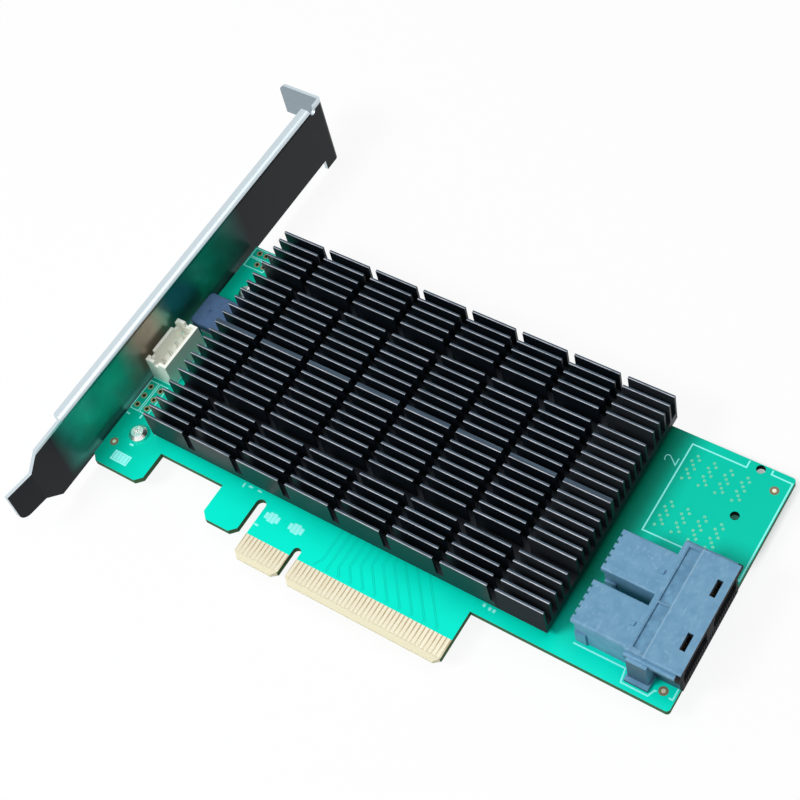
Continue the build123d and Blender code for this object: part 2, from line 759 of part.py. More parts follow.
def roof_ramp(y0, y1):
    """The sloped recess behind each port: deepest at the ridge, level at its front end."""
    x0 = SHELL_BACK + RAMP_START
    x1 = x0 + RAMP_LENGTH
    points = [(x0, PORT_TOP + 1), (x0, PORT_TOP - RAMP_DROP), (x1, PORT_TOP), (x1, PORT_TOP + 1)]
    profile = Plane.XZ.offset(-y0) * make_face(Polyline(points, close=True))
    return extrude(profile, -(y1 - y0))


def comb_grooves():
    """The row of grooves across the front of the lower lip."""
    x1 = PORT_FRONT - LIP_SETBACK
    half = COMB_GROOVE / 2
    count = int(2 * (SHELL_HALF - SHELL_WALL) / COMB_PITCH)
    z0 = CAVITY_LOW - COMB_HEIGHT
    places = centred(count, COMB_PITCH, SHELL_MID_Y)
    return [block(x1 - COMB_DEPTH, x1 + 1, y - half, y + half, z0, CAVITY_LOW) for y in places]


def shell_leg(side):
    """A leg beside the shell, with the pad that stands on the board."""
    inner = WAFER_MID_Y + side * LEG_INNER
    outer = WAFER_MID_Y + side * LEG_OUTER
    x0 = SHELL_BACK + LEG_FROM_BACK
    x1 = x0 + LEG_LENGTH
    leg_y = sorted((inner, outer))
    pad_y = sorted((inner, outer + side * LEG_PAD_OUT))
    pad = block(x0 - LEG_PAD_EXTRA, x1 + LEG_PAD_EXTRA, *pad_y, TOP, TOP + LEG_PAD_T)
    return pad + block(x0, x1, *leg_y, TOP, ROOF_LOW)


def slab(half_width, z0, z1, edge_r):
    """A slab over the shell, with its upper long edges rounded."""
    y0, y1 = SHELL_MID_Y - half_width, SHELL_MID_Y + half_width
    sheet = block(SHELL_BACK, PORT_FRONT, y0, y1, z0, z1)
    return fillet(sheet.edges().filter_by(Axis.X).group_by(Axis.Z)[-1], edge_r)


def port_housing():
    """The shell round both mouths, under a wider roof with a rail along each side."""
    y0, y1 = SHELL_MID_Y - SHELL_HALF, SHELL_MID_Y + SHELL_HALF
    shell = block(SHELL_BACK, PORT_FRONT - LIP_SETBACK, y0, y1, TOP, PORT_TOP - RAIL_EDGE_R)
    rail_top = PORT_TOP - RAIL_DROP
    shell += slab(ROOF_HALF, ROOF_LOW, PORT_TOP, ROOF_EDGE_R)
    shell += slab(ROOF_HALF + RAIL_OUT, rail_top - RAIL_T, rail_top, RAIL_EDGE_R)
    shell += shell_leg(-1) + shell_leg(1)
    ramp_low = SHELL_MID_Y - ROOF_HALF + RAMP_EDGE
    ramp_high = SHELL_MID_Y + ROOF_HALF - RAMP_EDGE
    shell -= roof_ramp(ramp_low, WAFER_MID_Y - RIB_WIDTH / 2)
    shell -= roof_ramp(WAFER_MID_Y + RIB_WIDTH / 2, ramp_high)
    for cut in port_cavities() + latch_slots() + comb_grooves():
        shell -= cut
    return shell


def wafer_cover(y):
    """The smooth cover over one block, with a toothed back edge and a small wedge."""
    top = TOP + WAFER_HEIGHT
    low = top - WAFER_COVER_T
    cover = block(WAFER_BACK, SHELL_BACK, y - WAFER_WIDTH / 2, y + WAFER_WIDTH / 2, low, top)
    long_edges = cover.edges().filter_by(Axis.X).group_by(Axis.Z)[-1]
    cover = fillet(long_edges, WAFER_EDGE_R)
    half = TOOTH_GAP / 2
    for mid in centred(WAFER_TEETH - 1, WAFER_WIDTH / WAFER_TEETH, y):
        cover -= block(WAFER_BACK - 1, WAFER_BACK + TOOTH_DEPTH, mid - half, mid + half, low - 1, top + 1)
    tip = SHELL_BACK - WEDGE_FROM_SHELL
    points = [(tip, top), (tip, top + WEDGE_HEIGHT), (tip - WEDGE_LENGTH, top)]
    profile = Plane.XZ.offset(-(y - WEDGE_WIDTH / 2)) * make_face(Polyline(points, close=True))
    return cover + extrude(profile, -WEDGE_WIDTH)


def port_wafer_block(index):
    y = centred(2, WAFER_PITCH, WAFER_MID_Y)[index]
    half = WAFER_WIDTH / 2 - WAFER_INSET
    x0 = WAFER_BACK + WAFER_INSET
    body = block(x0, SHELL_BACK, y - half, y + half, TOP, TOP + WAFER_HEIGHT - WAFER_COVER_T)
    wide = half + FOOT_OUT
    foot = block(x0, x0 + FOOT_LENGTH, y - wide, y + wide, TOP, TOP + FOOT_HEIGHT)
    return body + foot + wafer_cover(y)


def port_contacts():
    """Two rows of spring contacts in each mouth, set in its back wall."""
    contacts = []
    x0 = PORT_FRONT - CAVITY_DEPTH
    x1, half = x0 + CONTACT_LENGTH, CONTACT_WIDTH / 2
    for mouth_y in centred(2, PORT_PITCH, SHELL_MID_Y):
        for y in centred(CONTACTS_PER_ROW, CONTACT_PITCH, mouth_y):
            contacts.append(block(x0, x1, y - half, y + half, CAVITY_LOW, CAVITY_LOW + CONTACT_T))
            contacts.append(block(x0, x1, y - half, y + half, CAVITY_HIGH - CONTACT_T, CAVITY_HIGH))
    return Compound(contacts)


def port_pegs():
    """Plastic pegs that place the connector on the board."""
    pegs = [rod(x, y, PEG_R, BACK - PEG_PROUD, TOP, SMALL_SIDES) for x, y in peg_places(0)]
    return Compound(pegs)


def port_solder_tails():
    """The contacts' tails, showing on the back of the board."""
    tails = []
    half = TAIL_SIZE / 2
    for block_y in centred(2, WAFER_PITCH, WAFER_MID_Y):
        for column in range(TAIL_COLUMNS):
            column_x = WAFER_BACK + TAIL_INSET + column * TAIL_COLUMN_PITCH
            for i, y in enumerate(centred(CONTACTS_PER_ROW, TAIL_PITCH, block_y)):
                x = column_x + (TAIL_STAGGER if i % 2 else -TAIL_STAGGER)
                tails.append(block(x - half, x + half, y - half, y + half, BACK - TAIL_LENGTH, BACK))
    return Compound(tails)


def parts():
    return {
        "circuit_board": circuit_board(),
        "edge_contacts_front": edge_contacts(TOP, TOP + PAD_T),
        "edge_contacts_back": edge_contacts(BACK - PAD_T, BACK),
        "bracket": bracket(),
        "bracket_screws": bracket_screws(),
        "heat_sink": heat_sink(),
        "heat_sink_spacers": heat_sink_spacers(),
        "heat_sink_screws": heat_sink_screws(),
        "controller_substrate": controller_substrate(),
        "controller_lid": controller_lid(),
        "thermal_pad": thermal_pad(),
        "memory_chips": memory_chips(),
        "flash_chip": flash_chip(),
        "clock_oscillator": clock_oscillator(),
        "voltage_regulators": voltage_regulators(),
        "coupling_capacitors": coupling_capacitors(),
        "decoupling_capacitors": decoupling_capacitors(),
        "resistors": resistors(),
        "fan_header_housing": fan_header_housing(),
        "fan_header_pins": fan_header_pins(),
        "power_inductor": power_inductor(),
        "inductor_terminals": inductor_terminals(),
        "port_housing": port_housing(),
        "port_wafer_block_1": port_wafer_block(0),
        "port_wafer_block_2": port_wafer_block(1),
        "port_contacts": port_contacts(),
        "port_pegs": port_pegs(),
        "port_solder_tails": port_solder_tails(),
    }


os.makedirs("parts", exist_ok=True)
for name, solid in parts().items():
    export_step(solid, f"parts/{name}.step")
    box = solid.bounding_box()
    print(name, "size", round(box.size.X, 2), round(box.size.Y, 2), round(box.size.Z, 2))
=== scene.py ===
# %% [markdown]
# # A storage controller card, dressed in Blender
# The card's solid pieces come from the imported frame, in metres: X runs along the board away
# from the bracket, Y from the edge contacts towards the bracket's screw tab, and Z out of the
# component side. This file gives those pieces their finishes, and adds what a solid model
# leaves out: the print on the board, its tracks, its plated rings and painted highlights on
# the fin edges.

import bpy
import numpy as np
from math import pi
from mathutils import Matrix, Vector


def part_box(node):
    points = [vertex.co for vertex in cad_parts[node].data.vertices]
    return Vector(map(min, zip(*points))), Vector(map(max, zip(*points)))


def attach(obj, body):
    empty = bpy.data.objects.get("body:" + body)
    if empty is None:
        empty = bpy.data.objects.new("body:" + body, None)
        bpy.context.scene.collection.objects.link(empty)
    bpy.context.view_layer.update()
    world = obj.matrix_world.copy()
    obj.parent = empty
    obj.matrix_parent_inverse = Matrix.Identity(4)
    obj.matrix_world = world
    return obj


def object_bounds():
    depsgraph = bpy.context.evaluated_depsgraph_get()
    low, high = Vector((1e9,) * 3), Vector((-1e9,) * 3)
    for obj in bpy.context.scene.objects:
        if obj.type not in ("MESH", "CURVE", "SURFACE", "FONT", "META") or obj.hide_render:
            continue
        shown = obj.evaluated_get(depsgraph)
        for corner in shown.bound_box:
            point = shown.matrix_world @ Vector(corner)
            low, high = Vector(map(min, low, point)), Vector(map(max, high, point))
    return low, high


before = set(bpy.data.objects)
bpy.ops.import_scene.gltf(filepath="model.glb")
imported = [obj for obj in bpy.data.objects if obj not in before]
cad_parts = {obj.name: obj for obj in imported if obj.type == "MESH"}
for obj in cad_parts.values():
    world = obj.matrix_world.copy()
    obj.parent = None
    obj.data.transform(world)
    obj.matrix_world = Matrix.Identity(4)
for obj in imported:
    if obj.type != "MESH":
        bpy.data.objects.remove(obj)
cad_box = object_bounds()
MM = 0.001
BODY = "root"


def node_box(name):
    """The lowest and highest corner of a solid piece, in millimetres."""
    low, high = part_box(name)
    return np.array(low) / MM, np.array(high) / MM


board_low, board_high = node_box("circuit_board")
sink_low, sink_high = node_box("heat_sink")
bracket_low, bracket_high = node_box("bracket")
port_high = node_box("port_housing")[1]
BOARD_TOP_Z = board_high[2]
print("board", board_low.round(2), board_high.round(2))
print("bracket", bracket_low.round(2), bracket_high.round(2))

# %% [markdown]
# ## The camera
# The photograph looks down on the component side from beyond the port end. The view is worked
# out from the card's own known sizes: the card edge, the board's height and the bracket's
# length fix the eye, the turn and the lens. The photograph was cut out of a larger picture,
# so its straight-ahead point is not in its middle, and the camera's shift stands for that.

# %% Camera
IMAGE_SIZE = 800
LENS_PIXELS = 1757.4
STRAIGHT_AHEAD = (413.1, 235.8)
EYE_MM = (157.08, -97.32, 321.34)
EYE_FORWARD = Vector((-0.43594, 0.45005, -0.77936)).normalized()
EYE_RIGHT = Vector((0.83328, 0.52901, -0.16061)).normalized()


def make_camera():
    """A camera whose own axes are the picture's right, its up and the way back to the eye."""
    data = bpy.data.cameras.new("photo_camera")
    data.sensor_width = 36.0
    data.lens = LENS_PIXELS / IMAGE_SIZE * data.sensor_width
    data.shift_x = (IMAGE_SIZE / 2 - STRAIGHT_AHEAD[0]) / IMAGE_SIZE
    data.shift_y = (STRAIGHT_AHEAD[1] - IMAGE_SIZE / 2) / IMAGE_SIZE
    data.clip_start = 0.01
    data.clip_end = 20.0
    camera = bpy.data.objects.new("photo_camera", data)
    bpy.context.scene.collection.objects.link(camera)
    up = EYE_RIGHT.cross(EYE_FORWARD)
    turn = Matrix((EYE_RIGHT, up, -EYE_FORWARD)).transposed()
    camera.matrix_world = Matrix.Translation(Vector(EYE_MM) * MM) @ turn.to_4x4()
    return camera


bpy.context.scene.camera = make_camera()
print("lens", round(bpy.context.scene.camera.data.lens, 2), "mm")

# %% [markdown]
# ## Shader maths
# A finish is easier to read as a formula than as a web of nodes. The class below wraps one
# socket, and its operators add the Math nodes, so that `1 - mask` or `height * 0.5` can be
# written as they are meant. Every other node comes from one method of the finish.

# %% A socket that can be reckoned with


class Value:
    """An output socket; each operator adds one Math node to its finish."""

    def __init__(self, finish, socket):
        self.finish = finish
        self.socket = socket

    def maths(self, operation, *others):
        sockets = dict(enumerate((self, *others)))
        return self.finish.node("ShaderNodeMath", {"operation": operation}, sockets)

    def __add__(self, other):
        return self.maths("ADD", other)

    def __sub__(self, other):
        return self.maths("SUBTRACT", other)

    def __mul__(self, other):
        return self.maths("MULTIPLY", other)

    def __rsub__(self, other):
        return self * -1.0 + other

    __radd__ = __add__
    __rmul__ = __mul__

    def above(self, edge):
        """1 where the value is over the edge, else 0."""
        return self.maths("GREATER_THAN", edge)

    def below(self, edge):
        return self.maths("LESS_THAN", edge)

    def either(self, other):
        """The larger of two masks: 1 where either is."""
        return self.maths("MAXIMUM", other)

    def band(self, middle, half_width):
        """1 within the half width of a middle value, else 0."""
        return (self - middle).maths("ABSOLUTE").below(half_width)

    def between(self, low, high):
        return self.band((low + high) / 2, (high - low) / 2)

    def wave(self, length):
        """A sine wave of that length, from 0 to 1."""
        return (self * (2 * pi / length)).maths("SINE") * 0.5 + 0.5

    def ramp(self, low, high):
        """0 at low, 1 at high, and a straight run between them."""
        sockets = {"Value": self, "From Min": low, "From Max": high}
        return self.finish.node("ShaderNodeMapRange", {"clamp": True}, sockets)

    def stretch(self, rise, fall):
        """Climbs from 0 to 1 over the rise, stays there, and drops back to 0 over the fall."""
        return self.ramp(*rise) * (1 - self.ramp(*fall))


class Finish:
    """A material and the nodes behind its one shader."""

    def __init__(self, name, colour, roughness, metallic=0.0, specular=0.5):
        self.material = bpy.data.materials.new(name)
        self.material.use_nodes = True
        self.tree = self.material.node_tree
        self.shader = self.tree.nodes["Principled BSDF"]
        self.shader.inputs["Base Color"].default_value = (*colour, 1.0)
        self.shader.inputs["Roughness"].default_value = roughness
        self.shader.inputs["Metallic"].default_value = metallic
        self.shader.inputs["Specular IOR Level"].default_value = specular

    def node(self, kind, settings=None, sockets=None, output=0):
        """Adds a node: its settings first, then a number or a link for each named socket."""
        made = self.tree.nodes.new(kind)
        for key, value in (settings or {}).items():
            setattr(made, key, value)
        for key, value in (sockets or {}).items():
            if isinstance(value, Value):
                self.tree.links.new(value.socket, made.inputs[key])
            else:
                made.inputs[key].default_value = value
        return Value(self, made.outputs[output])

    def place(self):
        """Object coordinates, in millimetres, as three values."""
        point = self.node("ShaderNodeTexCoord", output="Object")
        split = self.node("ShaderNodeSeparateXYZ", None, {"Vector": point})
        return [Value(self, s) * (1 / MM) for s in split.socket.node.outputs]

    def facing(self):
        """How far the surface faces along X, Y and Z, each from -1 to 1."""
        normal = self.node("ShaderNodeTexCoord", output="Normal")
        split = self.node("ShaderNodeSeparateXYZ", None, {"Vector": normal})
        return [Value(self, s) for s in split.socket.node.outputs]

    def noise(self, per_mm, detail=3.0, stretch=(1, 1, 1)):
        """Noise with that many waves to a millimetre, drawn out along some axes."""
        point = self.node("ShaderNodeTexCoord", output="Object")
        scale = tuple(per_mm / MM / s for s in stretch)
        mapped = self.node("ShaderNodeMapping", None, {"Vector": point, "Scale": scale})
        sockets = {"Vector": mapped, "Scale": 1.0, "Detail": detail}
        return self.node("ShaderNodeTexNoise", None, sockets, "Fac")

    def blend(self, factor, first, second):
        """One colour where the factor is 0 and another where it is 1."""
        colours = [c if isinstance(c, Value) else (*c, 1.0) for c in (first, second)]
        sockets = {0: factor, 6: colours[0], 7: colours[1]}
        return self.node("ShaderNodeMix", {"data_type": "RGBA"}, sockets, 2)

    def feed(self, socket, value):
        self.tree.links.new(value.socket, self.shader.inputs[socket])

    def bump(self, height, depth_mm):
        """Raises the surface by the height, which runs from 0 to 1, times a depth."""
        sockets = {"Height": height, "Strength": 1.0, "Distance": depth_mm * MM}
        self.feed("Normal", self.node("ShaderNodeBump", None, sockets))


def paint(finish, *names):
    """Puts a finish on solid pieces of the frame."""
    for name in names:
        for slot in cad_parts[name].material_slots:
            slot.material = finish.material


print("solid pieces", len(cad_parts))

# %% [markdown]
# ## The board's finish
# A printed board is glass fibre laminate under a thin coat of green resist. The coat is
# smooth, with the cloth's weave just showing as a fine bump. Its colour runs from a clear
# turquoise at the card edge to a deeper green towards the bracket, which is a painted light
# falloff, and a painted shadow darkens it beside the heat sink. The cut sides have no coat, so
# they show the olive laminate, and the bevel below the contacts is a pale cream. The board is
# one solid, so it has one material, and masks by place part its coat from its bare sides.

# %% Resist over laminate
TURQUOISE = (0.0, 0.90, 0.68)
GREEN = (0.0, 0.62, 0.44)
DEEP_GREEN = (0.0, 0.38, 0.26)
SHADED_GREEN = (0.0, 0.17, 0.09)
LAMINATE = (0.055, 0.13, 0.055)
DARK_LAMINATE = (0.03, 0.075, 0.03)
PALE_LAMINATE = (0.80, 0.75, 0.54)
BETWEEN_CONTACTS = (0.54, 0.44, 0.27)
PALE_BETWEEN = (0.76, 0.70, 0.51)
PEG_HOLE_SHADE_BLACK = (0.004, 0.006, 0.004)
WEAVE_MM = 0.55
COAT_T = 0.04
BEVEL_RUN = 1.12
CONTACT_HIGH = 5.6
CARD_EDGE_X = (-12.2, 39.2)
DEEPER_Y = (8.0, 30.0)
AWAY_X = (board_low[0] - 3.0, -38.0)
SINK_SHADE_X = (sink_high[0], sink_high[0] + 9.0)
SINK_SHADE_Y = (14.0, 30.0)
BETWEEN_Y = (1.8, 4.0)
PEG_HOLE_X, PEG_HOLES_Y, PEG_ROOM = 75.9, (55.75, 67.75), 1.1


def make_board_finish():
    """The coat runs from turquoise to green across the board as a painted light falloff, with
    a painted shadow beside the heat sink; masks by height and place show the laminate on the
    sides, at the bevel and between the contacts, and paint the peg holes' walls black as
    shade."""
    finish = Finish("solder_mask_green", GREEN, 0.32, specular=0.08)
    x, y, z = finish.place()
    # Painted light falloff: brighter turquoise towards the card edge, and painted shade in
    # deep green towards the bracket.
    front = 1 - y.ramp(*DEEPER_Y)
    away = x.ramp(*AWAY_X)
    coat = finish.blend(front * away, GREEN, TURQUOISE)
    coat = finish.blend((1 - away) * 0.75, coat, DEEP_GREEN)
    coat = finish.blend(finish.noise(0.05).ramp(0.3, 0.8) * 0.15, coat, DEEP_GREEN)
    # Painted shadow: the resist is painted a shaded green beside the heat sink's end.
    painted_sink_shadow = (1 - x.ramp(*SINK_SHADE_X)) * y.ramp(*SINK_SHADE_Y)
    painted_sink_shadow = painted_sink_shadow * x.above(sink_high[0] - 1) * z.above(0)
    coat = finish.blend(painted_sink_shadow * 0.9, coat, SHADED_GREEN)
    contacts = x.between(*CARD_EDGE_X) * y.below(CONTACT_HIGH)
    gaps = finish.blend(y.ramp(*BETWEEN_Y), PALE_BETWEEN, BETWEEN_CONTACTS)
    coat = finish.blend(contacts, coat, gaps)
    fibres = finish.noise(2.0, stretch=(6, 6, 1)).ramp(0.35, 0.75) * 0.5
    side = finish.blend(fibres, LAMINATE, DARK_LAMINATE)
    side = finish.blend(y.below(BEVEL_RUN), side, PALE_LAMINATE)
    # Painted shade: the walls of the empty port's peg holes are painted near black.
    low, high = [y.band(middle, PEG_ROOM) for middle in PEG_HOLES_Y]
    peg_hole_shade = x.band(PEG_HOLE_X, PEG_ROOM) * low.either(high)
    side = finish.blend(peg_hole_shade, side, PEG_HOLE_SHADE_BLACK)
    bare = z.between(-BOARD_TOP_Z + COAT_T, BOARD_TOP_Z - COAT_T)
    finish.feed("Base Color", finish.blend(bare, coat, side))
    finish.feed("Roughness", finish.noise(0.4) * 0.12 + bare * 0.35 + 0.26)
    cloth = x.wave(WEAVE_MM) + y.wave(WEAVE_MM)
    finish.bump(cloth * 0.25 + finish.noise(3.0) * 0.5, 0.004)
    return finish


board_finish = make_board_finish()
paint(board_finish, "circuit_board")
print("board finish nodes", len(board_finish.tree.nodes))

# %% [markdown]
# ## Metals
# The gold contacts are wiped fine along Y. The bracket is rolled sheet with a satin plating,
# bright on its folds. Its flat inner face is so smooth that it mirrors the board and the parts
# before it, and it is dark above and below them. A mirror alone would show the white ground
# there, so masks by place paint it: a painted green and warm reflection beside the board and
# the header, and painted shade above and below them. The heat sink is black anodised, with a
# painted sheen on its tops, and the screws are bright plate.

# %% Gold contacts
GOLD = (0.84, 0.78, 0.58)
PALE_GOLD = (0.82, 0.775, 0.61)
DULL_GOLD = (0.66, 0.57, 0.37)


def make_gold():
    """Noise drawn out along Y darkens the gold a little and roughens it."""
    finish = Finish("contact_gold", GOLD, 0.36, metallic=0.35)
    streaks = finish.noise(2.0, stretch=(1, 12, 1))
    wiped = finish.blend(streaks.ramp(0.3, 0.8) * 0.6, PALE_GOLD, DULL_GOLD)
    finish.feed("Base Color", wiped)
    finish.feed("Roughness", streaks * 0.2 + 0.28)
    finish.bump(streaks, 0.002)
    return finish


gold = make_gold()
paint(gold, "edge_contacts_front", "edge_contacts_back")
print("gold nodes", len(gold.tree.nodes))

# %% The bracket
SHEET_T = 0.86
FACE_SKIN = 0.12
FOLD_ROOM = 0.75
TAB_UNDER = bracket_high[1] - SHEET_T
TAB_X = -57.0
BESIDE_Z, BESIDE_Y = (-1.5, 1.5), ((-1.0, 9.0), (54.0, 69.0))
HEADER_Z, HEADER_Y = (1.0, 4.0), ((22.0, 29.0), (34.0, 41.0))
REFLECTION_FADE_Y = (15.0, 50.0)
STEEL = (0.58, 0.64, 0.68)
BRIGHT_STEEL, GRAIN_STEEL = (0.57, 0.65, 0.69), (0.46, 0.53, 0.57)
TAB_SHADE_STEEL = (0.20, 0.26, 0.30)
INNER_SHADE_STEEL, INNER_SHADE_GRAIN = (0.006, 0.008, 0.010), (0.010, 0.013, 0.015)
REFLECTED_GREEN_NEAR, REFLECTED_GREEN_FAR = (0.03, 0.52, 0.41), (0.02, 0.32, 0.25)
REFLECTED_HEADER_WARM = (0.44, 0.38, 0.31)


def make_bracket_steel():
    """The inner face carries a painted reflection, green beside the board and warm beside the
    header, and is painted dark as shade elsewhere; the rest is satin plate with a grain along
    Y, with painted shade under the screw tab."""
    finish = Finish("bracket_steel", STEEL, 0.34, metallic=0.9, specular=0.1)
    x, y, z = finish.place()
    grain = finish.noise(1.2, stretch=(1, 40, 1)).ramp(0.3, 0.8)
    clear_of_fold = z.below(bracket_high[2] - FOLD_ROOM)
    inner = finish.facing()[0].above(0.5) * clear_of_fold
    # Painted reflection and shade on the inner face: a painted green reflection beside the
    # board, a painted warm one beside the header, and painted shade elsewhere.
    cloudy = finish.noise(0.09).ramp(0.3, 0.6) * 0.35 + 0.65
    beside = z.ramp(*BESIDE_Z) * y.stretch(*BESIDE_Y) * cloudy
    dark = finish.blend(grain * 0.3, INNER_SHADE_STEEL, INNER_SHADE_GRAIN)
    header_reflection_mask = z.ramp(*HEADER_Z) * y.stretch(*HEADER_Y)
    green = finish.blend(y.ramp(*REFLECTION_FADE_Y), REFLECTED_GREEN_NEAR, REFLECTED_GREEN_FAR)
    painted_reflection = finish.blend(header_reflection_mask, green, REFLECTED_HEADER_WARM)
    dark = finish.blend(beside, dark, painted_reflection)
    bright = finish.blend(grain * 0.4, BRIGHT_STEEL, GRAIN_STEEL)
    # Painted shade on the face under the screw tab.
    painted_tab_shade = y.band(TAB_UNDER, FACE_SKIN) * x.below(TAB_X)
    bright = finish.blend(painted_tab_shade * 0.8, bright, TAB_SHADE_STEEL)
    finish.feed("Base Color", finish.blend(inner, bright, dark))
    finish.feed("Metallic", inner * (beside * 0.75 - 0.75) + 0.9)
    finish.feed("Roughness", grain * 0.08 + 0.34 - inner * 0.04)
    finish.bump(grain * (1 - inner * 0.8), 0.002)
    return finish


bracket_steel = make_bracket_steel()
paint(bracket_steel, "bracket")
print("bracket nodes", len(bracket_steel.tree.nodes))

# %% Screws, pins and the other small metal
def make_plate(name, colour, roughness):
    """Cloudy plating: noise darkens the colour by up to a third and varies its roughness."""
    finish = Finish(name, colour, roughness, metallic=1.0)
    cloud = finish.noise(1.5)
    darker = tuple(c * 0.7 for c in colour)
    finish.feed("Base Color", finish.blend(cloud.ramp(0.35, 0.8) * 0.5, colour, darker))
    finish.feed("Roughness", cloud * 0.2 + (roughness - 0.1))
    return finish


# Each row: the finish's name, its colour, its roughness, and the pieces it goes on.
PLATES = (
    ("pin_tin", (0.74, 0.74, 0.72), 0.34,
     ("fan_header_pins", "inductor_terminals", "port_solder_tails")),
    ("screw_steel", (0.90, 0.90, 0.88), 0.26, ("bracket_screws", "heat_sink_screws")),
    ("spacer_brass", (0.72, 0.62, 0.40), 0.3, ("heat_sink_spacers",)),
    ("lid_metal", (0.58, 0.60, 0.62), 0.38, ("controller_lid",)),
    ("oscillator_metal", (0.70, 0.68, 0.62), 0.3, ("clock_oscillator",)),
    ("port_contact_gold", (0.24, 0.18, 0.08), 0.4, ("port_contacts",)),
)
for *look, pieces in PLATES:
    paint(make_plate(*look), *pieces)
print("plated finishes", len(PLATES))

# %% The heat sink: black anodised, with a painted sheen on its tops
TOP_SKIN = 0.05
COLUMNS = 8
CROSS_CUT = 1.85
END_COLUMN = (sink_high[0] - sink_low[0] + CROSS_CUT) / COLUMNS - CROSS_CUT / 2
ANODISED = (0.010, 0.012, 0.015)
DEEP_BLACK, STREAK_BLACK = (0.003, 0.006, 0.010), (0.008, 0.015, 0.022)
TOP_SHEEN_DARK, TOP_SHEEN_PALE = (0.020, 0.038, 0.060), (0.055, 0.09, 0.13)


def make_sink_black():
    """Streaks along the fins vary a near black; the tops carry a painted slate sheen, lighter
    than the sides as if lit from above. The end column's faces towards the card edge are
    duller than the others."""
    finish = Finish("heat_sink_black", ANODISED, 0.42, metallic=0.3, specular=0.3)
    x, y, z = finish.place()
    streaks = finish.noise(1.6, stretch=(30, 1, 1))
    top = z.above(sink_high[2] - TOP_SKIN)
    black = finish.blend(streaks.ramp(0.3, 0.8) * 0.5, DEEP_BLACK, STREAK_BLACK)
    # Painted sheen: the fin tops are painted a lighter slate than the black sides.
    tops = finish.blend(streaks.ramp(0.3, 0.7), TOP_SHEEN_DARK, TOP_SHEEN_PALE)
    finish.feed("Base Color", finish.blend(top, black, tops))
    to_card_edge = 1 - finish.facing()[1].above(-0.5)
    end_column = x.above(sink_high[0] - END_COLUMN) * to_card_edge
    finish.feed("Roughness", streaks * 0.15 + end_column * 0.5 + 0.36)
    finish.feed("Metallic", 0.3 - end_column * 0.3)
    finish.bump(streaks, 0.003)
    return finish


sink_black = make_sink_black()
paint(sink_black, "heat_sink")
print("sink nodes", len(sink_black.tree.nodes))

# %% [markdown]
# ## Plastics, chips and ceramic
# The connector is moulded in a blue-grey glass-filled plastic, the header in ivory nylon.
# Moulded faces carry a fine grain, so each has noise in its roughness and a shallow bump.
# One function makes them all, and a table says which colours go on which pieces. The
# connector's mouths, its latch slots and its lower lip are painted black as shade.

# %% Moulded plastic
def moulded(name, colour, second, roughness, grain_per_mm, depth_mm):
    """The colour drifts to a second one in patches six times as large as the grain."""
    finish = Finish(name, colour, roughness, specular=0.35)
    grain = finish.noise(grain_per_mm, 4.0)
    patches = finish.noise(grain_per_mm / 6, 4.0).ramp(0.35, 0.7) * 0.6
    finish.drift = finish.blend(patches, colour, second)
    finish.feed("Base Color", finish.drift)
    finish.feed("Roughness", grain * 0.2 + (roughness - 0.1))
    finish.bump(grain, depth_mm)
    return finish


# Each row: the finish's name, its two colours, its roughness, its grains to a millimetre, the
# grain's depth in millimetres, and the pieces it goes on.
PLASTICS = (
    ("chip_black", (0.02, 0.02, 0.023), (0.035, 0.035, 0.04), 0.6, 5.0, 0.008,
     ("memory_chips", "flash_chip", "voltage_regulators")),
    ("capacitor_ceramic", (0.42, 0.27, 0.16), (0.33, 0.2, 0.11), 0.5, 5.0, 0.003,
     ("coupling_capacitors", "decoupling_capacitors")),
    ("resistor_black", (0.03, 0.03, 0.035), (0.05, 0.05, 0.06), 0.4, 5.0, 0.003,
     ("resistors",)),
    ("inductor_grey", (0.06, 0.12, 0.24), (0.045, 0.085, 0.17), 0.55, 6.0, 0.012,
     ("power_inductor",)),
    ("chip_laminate", (0.03, 0.13, 0.07), (0.02, 0.09, 0.05), 0.45, 4.0, 0.003,
     ("controller_substrate",)),
    ("thermal_pad_grey", (0.40, 0.46, 0.55), (0.34, 0.4, 0.5), 0.8, 3.0, 0.01,
     ("thermal_pad",)),
    ("header_ivory", (0.96, 0.97, 0.89), (0.89, 0.90, 0.81), 0.42, 2.0, 0.004,
     ("fan_header_housing",)),
)
for *look, pieces in PLASTICS:
    paint(moulded(*look), *pieces)
print("moulded finishes", len(PLASTICS))

# %% The connector, with painted shade in its mouths, slots and lip
MOUTHS_Y = (23.2, 35.6)
MOUTH_HALF = 4.82
MOUTH_Z = (3.46, 8.81)
MOUTH_DEPTH = 9.65
LIP_T = 1.0
LATCH_X = (port_high[0] - 2.72, port_high[0] - 1.48)
LATCH_HALF = 1.97
ROOF_EDGE = 0.35
LEG_BACK_X = 72.4
LEG_TOP_Z = 8.6
RIDGE_X, GROOVE_X = 76.35, 73.3
RIDGE_HALF = 0.16
CROWN_SKIN = 0.55
CONNECTOR_ROUGHNESS, CONNECTOR_GRAIN = 0.42, 2.4
BLUE_GREY, PALE_BLUE_GREY = (0.118, 0.280, 0.435), (0.185, 0.375, 0.54)
SCUFF_BLUE, RIDGE_HIGHLIGHT_BLUE = (0.34, 0.52, 0.66), (0.36, 0.54, 0.68)
SUNKEN_SHADE_BLUE, SHADE_BLUE = (0.075, 0.185, 0.30), (0.010, 0.030, 0.065)
CAVITY_SHADE_BLACK = (0.005, 0.006, 0.008)


